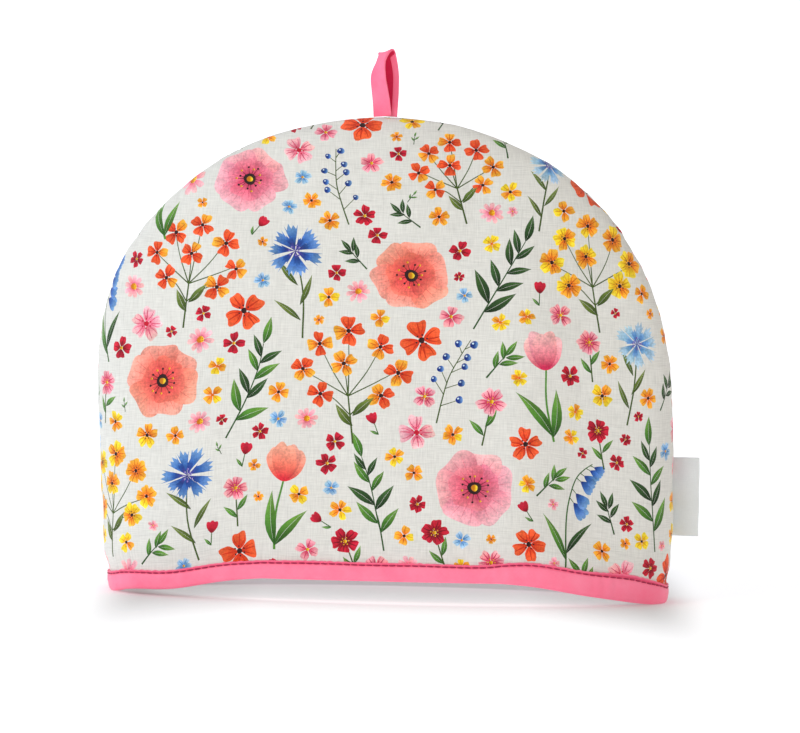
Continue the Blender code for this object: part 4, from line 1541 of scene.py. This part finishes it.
def add_mesh(name, points, faces, material, uv=None):
    mesh = bpy.data.meshes.new(name)
    mesh.from_pydata(np.asarray(points).reshape(-1, 3).tolist(), [], faces)
    mesh.materials.append(material)
    mesh.polygons.foreach_set("use_smooth", [True] * len(mesh.polygons))
    if uv is not None:
        mesh.uv_layers.new(name="OFBake").data.foreach_set("uv", uv.astype(np.float32).ravel())
    mesh.validate()
    facing_out(mesh)
    return linked(name, mesh)


def grid_uv(rows, columns):
    """Corner UVs for a closed grid's faces, a little inside the whole square."""
    i, j = np.meshgrid(np.arange(rows), np.arange(columns), indexing="ij")
    corners = [xy(RING_UV_SPAN * (j + right) / columns, RING_UV_SPAN * (i + up) / rows)
               for up, right in ((0, 0), (1, 0), (1, 1), (0, 1))]
    return RING_UV_EDGE + np.stack(corners, axis=2).reshape(-1, 2)


def add_binding():
    points = binding_mesh()
    rows, columns = points.shape[:2]
    faces = grid_faces(rows, columns, closed=True).tolist()
    piece = add_mesh("cosy_binding", points, faces, BINDING, grid_uv(rows, columns))
    offsets, shares = BINDING_SECTION.T
    # Painted shade in the groove that the stitches pull in, and on the lip above it.
    painted_shade = np.where(np.abs(offsets) > GROOVE_OFFSET_MM, np.interp(shares, *GROOVE_SHADE), 0.0)
    painted_shade_value(piece, np.repeat(painted_shade, columns))
    return piece


def stitch_points(start, end, out):
    """A short rounded thread from start to end that bows outwards in its middle."""
    along = end - start
    across = np.cross(along, out)
    across /= max(np.linalg.norm(across), TINY)
    turn = np.arange(STITCH_SIDES) * FULL_TURN / STITCH_SIDES
    circle = np.cos(turn)[:, None] * across + np.sin(turn)[:, None] * out
    points = []
    for t, size in STITCH_RINGS:
        middle = start + along * t + out * STITCH_RADIUS * STITCH_BOW * math.sin(math.pi * t)
        points.append(middle + STITCH_RADIUS * size * circle)
    return np.vstack(points)


def add_stitches():
    """The row of stitches that holds the binding, outside and inside."""
    across, side = ring_places()
    rise = binding_rise(across, side)
    total = len(across)
    count = int(total / (STITCH_PITCH / RING_STEP))
    rng = np.random.default_rng(12)
    points = []
    for way in (1.0, -1.0):
        slack = hump(across / MM, 138, 22) * (side == FRONT) * (way > 0)
        drop = STITCH_DROP + 1.0 * MM * slack
        height = BINDING_HEIGHT + rise * (1.0 if way > 0 else INNER_RISE) - drop
        away = (STITCH_AWAY_MM + 0.5 * slack) * MM
        level = np.maximum(height - HEM_SEAT, 0.0)
        plain_x, x, y = hem_point(across, side, level, way * away)
        _, x_out, y_out = hem_point(across, side, level, way * (away + MM))
        line = np.stack([x + SHIFT_X, y, lift(plain_x, height, 0.0, side)], axis=-1)
        out = np.stack([x_out - x, y_out - y, 0 * x], axis=-1) / MM
        for k in range(count):
            first = (k + 0.5 * (way < 0)) * total / count + rng.uniform(-STITCH_SWAY, STITCH_SWAY)
            ends = []
            for place in (first, first + STITCH_LENGTH / RING_STEP):
                here, there = (line[(int(place) + step) % total] for step in (0, 1))
                spot = here * (1 - place % 1) + there * (place % 1)
                ends.append(spot + (0, 0, rng.uniform(-STITCH_SLANT, STITCH_SLANT) * MM))
            points.append(stitch_points(*ends, out[int(first) % total]))
    tube = (len(STITCH_RINGS), STITCH_SIDES)
    stitch = turned_over(grid_faces(*tube)).tolist() + end_faces(*tube)
    faces = [[corner + len(points[0]) * k for corner in face]
             for k in range(len(points)) for face in stitch]
    return add_mesh("cosy_stitches", np.vstack(points), faces, THREAD)


def loop_frames(count):
    """Middle line of the tape with its width's and its thickness' directions."""
    line = smooth_curve(LOOP_LINE_MM, CURVE_STEPS)
    place = np.linspace(0, len(line) - 1, count)
    rows = np.stack([np.interp(place, np.arange(len(line)), part) for part in line.T], axis=-1)
    middle = rows[:, :3] * MM + (SHIFT_X, 0.0, DOME_HEIGHT)
    turn, slant = np.radians(rows[:, 3]), np.radians(rows[:, 4])
    width = np.stack([np.cos(turn), np.sin(turn), np.sin(slant)], axis=-1)
    along = np.gradient(middle, axis=0)
    along /= np.linalg.norm(along, axis=1, keepdims=True)
    thick = np.cross(along, width)
    thick /= np.linalg.norm(thick, axis=1, keepdims=True)
    return middle, np.cross(thick, along), thick


def add_loop():
    middle, width, thick = loop_frames(LOOP_ROWS)
    section = np.array(TAPE_INSIDE + TAPE_OUTSIDE)
    t = np.linspace(0, 1, LOOP_ROWS)
    run = t * LOOP_RUN_MM * MM
    soft = 0.22 * MM * waves(run, 0 * t, 21, 9 * MM)
    points = []
    for share, through in section:
        edge = 1 + 0.014 * waves(run, 0 * t, 22 if share > 0 else 23, 12 * MM)
        cup = 0.3 * MM * (0.4 - share**2) * np.sin(math.pi * t)
        across = width * (share * edge * LOOP_WIDTH / 2)[:, None]
        away = through * LOOP_CLOTH / 2 + cup + soft * (1 - share**2)
        points.append(middle + across + thick * away[:, None])
    grid = np.stack(points, axis=1)
    faces = grid_faces(*grid.shape[:2]).tolist() + end_faces(*grid.shape[:2])
    tape = add_mesh("cosy_loop", grid, faces, TAPE)
    # Painted shade on the tape's inner side, where the front leg shades the back leg.
    inside = np.arange(len(section)) < len(TAPE_INSIDE)
    reach = SHADE_SIDE_UP_TO + SHADE_LEG_MORE * smooth_step((SHADE_LEG_END - t) / SHADE_LEG_FADE)
    deep = inside[None, :] & (section[None, :, 0] < reach[:, None])
    painted_shade_value(tape, deep.ravel())
    return tape


def label_section():
    """Around the folded label: share of its reach and place through it, outside and gap."""
    half = LABEL_CLOTH / 2
    count, first, bulge, through = LABEL_FOLD
    layer = [(reach, 0.55 * half + 0.35 * half * math.sin(math.pi * reach) ** 0.6)
             for reach in np.linspace(0, 1, LABEL_STEPS)[:-1] ** 0.9]
    fold = [(1 + bulge * math.sin(angle), through * half * math.cos(angle))
            for angle in np.linspace(first, math.pi - first, count)]
    outside = layer + fold + [(reach, -y) for reach, y in reversed(layer)]
    gap = [(min(reach, LABEL_GAP[0]), LABEL_GAP[1] * y) for reach, y in reversed(outside)]
    return np.array(outside + gap), len(outside)


def add_label():
    """A blank woven label folded in two, its fold outwards and its ends in the seam."""
    start = SEAM_PINCH - 2 * CLEARANCE
    section, strip = label_section()
    reach, through = section.T
    points = []
    for v in np.linspace(-0.5, 0.5, LABEL_ROWS):
        z = LABEL_BOTTOM + (v + 0.5) * (LABEL_TOP - LABEL_BOTTOM)
        bow = LABEL_BOW * reach**2 * math.cos(2 * v)
        curl = 0.25 * MM * reach**3 * math.sin(9 * v + 0.7)
        x = float(seam_x(z)[1]) - start + reach * (LABEL_REACH + start)
        x = x - 0.1 * MM * math.sin(14 * v) + SHIFT_X
        height = z + 0.4 * MM * reach * math.sin(5 * v)
        points.append(np.stack([x, through - bow + curl, height], axis=-1))
    grid = np.stack(points)
    columns = grid.shape[1]
    faces = turned_over(grid_faces(LABEL_ROWS, columns)).tolist()
    for base in (0, (LABEL_ROWS - 1) * columns):
        for near in range(base, base + strip - 1):
            far = 2 * base + columns - 1 - near
            faces.append([near, near + 1, far - 1, far])
    return add_mesh("cosy_label", grid, faces, LABEL)


# --- the cosy ---------------------------------------------------------------------------------


def belongs(piece, slot, *nodes):
    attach(piece, "root")
    if nodes:
        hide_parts(*nodes)
    return piece


panel_front = add_panel_shell("cosy_front", FRONT, painted_print(11, MAIN_FRONT))
panel_back = add_panel_shell("cosy_back", BACK, painted_print(12, MAIN_BACK))
for panel, node in ((panel_front, "panel_front"), (panel_back, "panel_back")):
    belongs(panel, "printed_cotton", node)

binding = belongs(add_binding(), "pink_binding", "hem_binding")
stitches = belongs(add_stitches(), "pink_binding")

tape = belongs(add_loop(), "pink_tape", "hanging_loop")
tape_line = loop_frames(200)[0]

label = belongs(add_label(), "woven_label", "side_label")


# --- floor, light and camera ------------------------------------------------------------------

SWEEP_DISC = 0.4
SWEEP_START = 3.6
SWEEP_RADIUS = 0.6
SWEEP_TOP = 1.0
SWEEP_SIDES = 96
SWEEP_STEPS = 17
FLOOR_GREY = (0.6, 0.6, 0.6)
GLOW_COLOUR = (0.985, 0.995, 1.02, 1.0)
FLOOR_GLOW = 0.66
INSIDE_GLOW = 0.3
WALL_GLOW = 0.8
# The painted light inside the hem, where the floor glows more: half-width and half-depth of its
# ellipse.
INSIDE_HALF_WIDTH, INSIDE_HALF_DEPTH = 0.15, 0.068
# The painted soft shadow, where the floor's glow is dimmed round the hem: its depth, its front
# edge, the arch of the hem over it, how its strength falls with the room below that arch, its
# ellipse behind and its two ends.
POOL_DEPTH = 0.82
POOL_FRONT, POOL_FRONT_CURVE, POOL_FRONT_SLOPE = 0.06, 1.4, 0.0384
POOL_ARCH = (0.07, 0.148, 0.0095, 0.0035)
POOL_ROOM = (0.003, 0.015)
POOL_REAR, POOL_REAR_HALF_WIDTH = 0.36, 0.3
POOL_REAR_FADE = (0.22, 1.0)
POOL_ENDS = (0.132, 0.171)
# Lamps: name, place, aimed at, size, power and colour.
LAMPS = (
    ("key", (-1.65, -2.05, 1.6), (0, 0, 0.13), (1.2, 1.2), 25.5, (1.0, 0.975, 0.84)),
    ("warm_side", (2.3, -1.3, 0.8), (0, 0, 0.13), (1.0, 1.0), 4.5, (1.0, 0.76, 0.22)),
    ("top", (0.0, 0.25, 2.1), (0, 0, 0.0), (2.4, 1.6), 9.0, WHITE),
)
# The light around: colours from the left and from the right, where one turns into the other.
WORLD_LEFT = (0.8, 0.89, 1.02)
WORLD_RIGHT = (0.12, 0.05, 0.0)
WORLD_TURN = (-0.9, 0.5)
WORLD_BEND = 1.4
WORLD_STRENGTH = 0.83
CAMERA_TARGET = Vector((0.0, 0.0, 0.1233))
CAMERA_DISTANCE = 3.0
CAMERA_RISE = math.radians(2.2)
CAMERA_ROLL = math.radians(1.4)
CAMERA_LENS_MM, CAMERA_SENSOR_MM = 251.0, 36.0


def stage_material():
    """White paper that glows a little, and more on the wall, so that both come out white. Painted
    shadow dims its glow round the hem, and painted light makes it glow more inside the hem.
    """
    nodes = Material("studio_white")
    place = nodes.object_place()
    grain = nodes.noise(place, 260.0, 3.0)
    shade = nodes.tinted(FLOOR_GREY, nodes.noise_to(grain, 0.985, 1.01))
    x, y = (nodes.add("ShaderNodeSeparateXYZ", (place,), axis) for axis in (0, 1))
    x_square, x_size = x * x, nodes.math("ABSOLUTE", x)
    # Painted shadow: the floor glows less in a patch round the hem.
    ahead = (x_square * POOL_FRONT_CURVE - POOL_FRONT - y) * POOL_FRONT_SLOPE
    dim = nodes.soften(nodes.spread(x_size, *POOL_ARCH) + ahead, *POOL_ROOM)
    rear = nodes.math("DIVIDE", nodes.math("MAXIMUM", y, 0.0), POOL_REAR)
    rear = rear * rear + x_square * (1 / POOL_REAR_HALF_WIDTH**2)
    behind = nodes.soften(rear, *POOL_REAR_FADE)
    pool = dim * behind * nodes.soften(x_size, *POOL_ENDS) * POOL_DEPTH
    # Painted light: the floor inside the hem glows more.
    reach = x_square * (1 / INSIDE_HALF_WIDTH**2) + y * y * (1 / INSIDE_HALF_DEPTH**2)
    inside = nodes.spread(reach, 0.7, 1.0, INSIDE_GLOW, 0.0)
    away = nodes.add("ShaderNodeVectorMath", (place,), "Value", operation="LENGTH")
    glow = nodes.spread(away, 0.5, 1.6, FLOOR_GLOW, WALL_GLOW)
    nodes.put(nodes.shader, "Emission Color", GLOW_COLOUR)
    nodes.put(nodes.shader, "Emission Strength", glow * nodes.math("SUBTRACT", 1.0, pool) + inside)
    return nodes.finish(shade, 0.9, nodes.bump(grain, 0.05, 0.0003), 0.0, 0.5, WHITE, 0.1)


def add_sweep():
    """A round white floor that curves up into a low wall on every side."""
    turn = np.linspace(0, math.pi / 2, SWEEP_STEPS)[1:]
    curve = xy(SWEEP_START + SWEEP_RADIUS * np.sin(turn), SWEEP_RADIUS * (1 - np.cos(turn)))
    profile = np.vstack([[(SWEEP_DISC, 0.0), (SWEEP_START, 0.0)], curve,
                         [(SWEEP_START + SWEEP_RADIUS, SWEEP_TOP)]])
    around = np.arange(SWEEP_SIDES) * FULL_TURN / SWEEP_SIDES
    points = [(r * math.cos(a), r * math.sin(a), z) for r, z in profile for a in around]
    faces = [list(range(SWEEP_SIDES))] + grid_faces(len(profile), SWEEP_SIDES).tolist()
    mesh = bpy.data.meshes.new("sweep")
    mesh.from_pydata(points, [], faces)
    mesh.polygons.foreach_set("use_smooth", [True] * len(faces))
    mesh.materials.append(stage_material())
    sweep = linked("sweep", mesh)


def add_lamp(name, place, target, size, power, colour):
    data = bpy.data.lights.new(name, "AREA")
    data.shape = "RECTANGLE"
    data.size, data.size_y = size
    data.energy = power
    data.color = colour
    lamp = linked(name, data)
    lamp.location = place
    lamp.rotation_euler = (Vector(target) - Vector(place)).to_track_quat("-Z", "Y").to_euler()


def add_world():
    """Soft light from all around, brighter from the left and warmer from the right."""
    world = bpy.data.worlds.new("studio")
    world.use_nodes = True
    nodes = Nodes(world.node_tree)
    direction = nodes.add("ShaderNodeTexCoord", output="Generated")
    share = nodes.spread(nodes.add("ShaderNodeSeparateXYZ", (direction,)), *WORLD_TURN, 0.0, 1.0)
    share = nodes.add("ShaderNodeMath", (share, WORLD_BEND), operation="POWER")
    background = world.node_tree.nodes["Background"]
    nodes.put(background, "Color", nodes.mixed(share, (*WORLD_LEFT, 1.0), (*WORLD_RIGHT, 1.0)))
    background.inputs["Strength"].default_value = WORLD_STRENGTH
    bpy.context.scene.world = world


def add_camera():
    data = bpy.data.cameras.new("camera")
    data.lens = CAMERA_LENS_MM
    data.sensor_width = CAMERA_SENSOR_MM
    camera = linked("camera", data)
    away = Vector((0.0, -math.cos(CAMERA_RISE), math.sin(CAMERA_RISE)))
    look = (-away).to_track_quat("-Z", "Y").to_matrix().to_4x4()
    place = Matrix.Translation(CAMERA_TARGET + away * CAMERA_DISTANCE)
    camera.matrix_world = place @ look @ Matrix.Rotation(CAMERA_ROLL, 4, "Z")
    bpy.context.scene.camera = camera


add_sweep()
for lamp in LAMPS:
    add_lamp(*lamp)
add_world()
add_camera()
bpy.context.scene.view_settings.view_transform = "Standard"
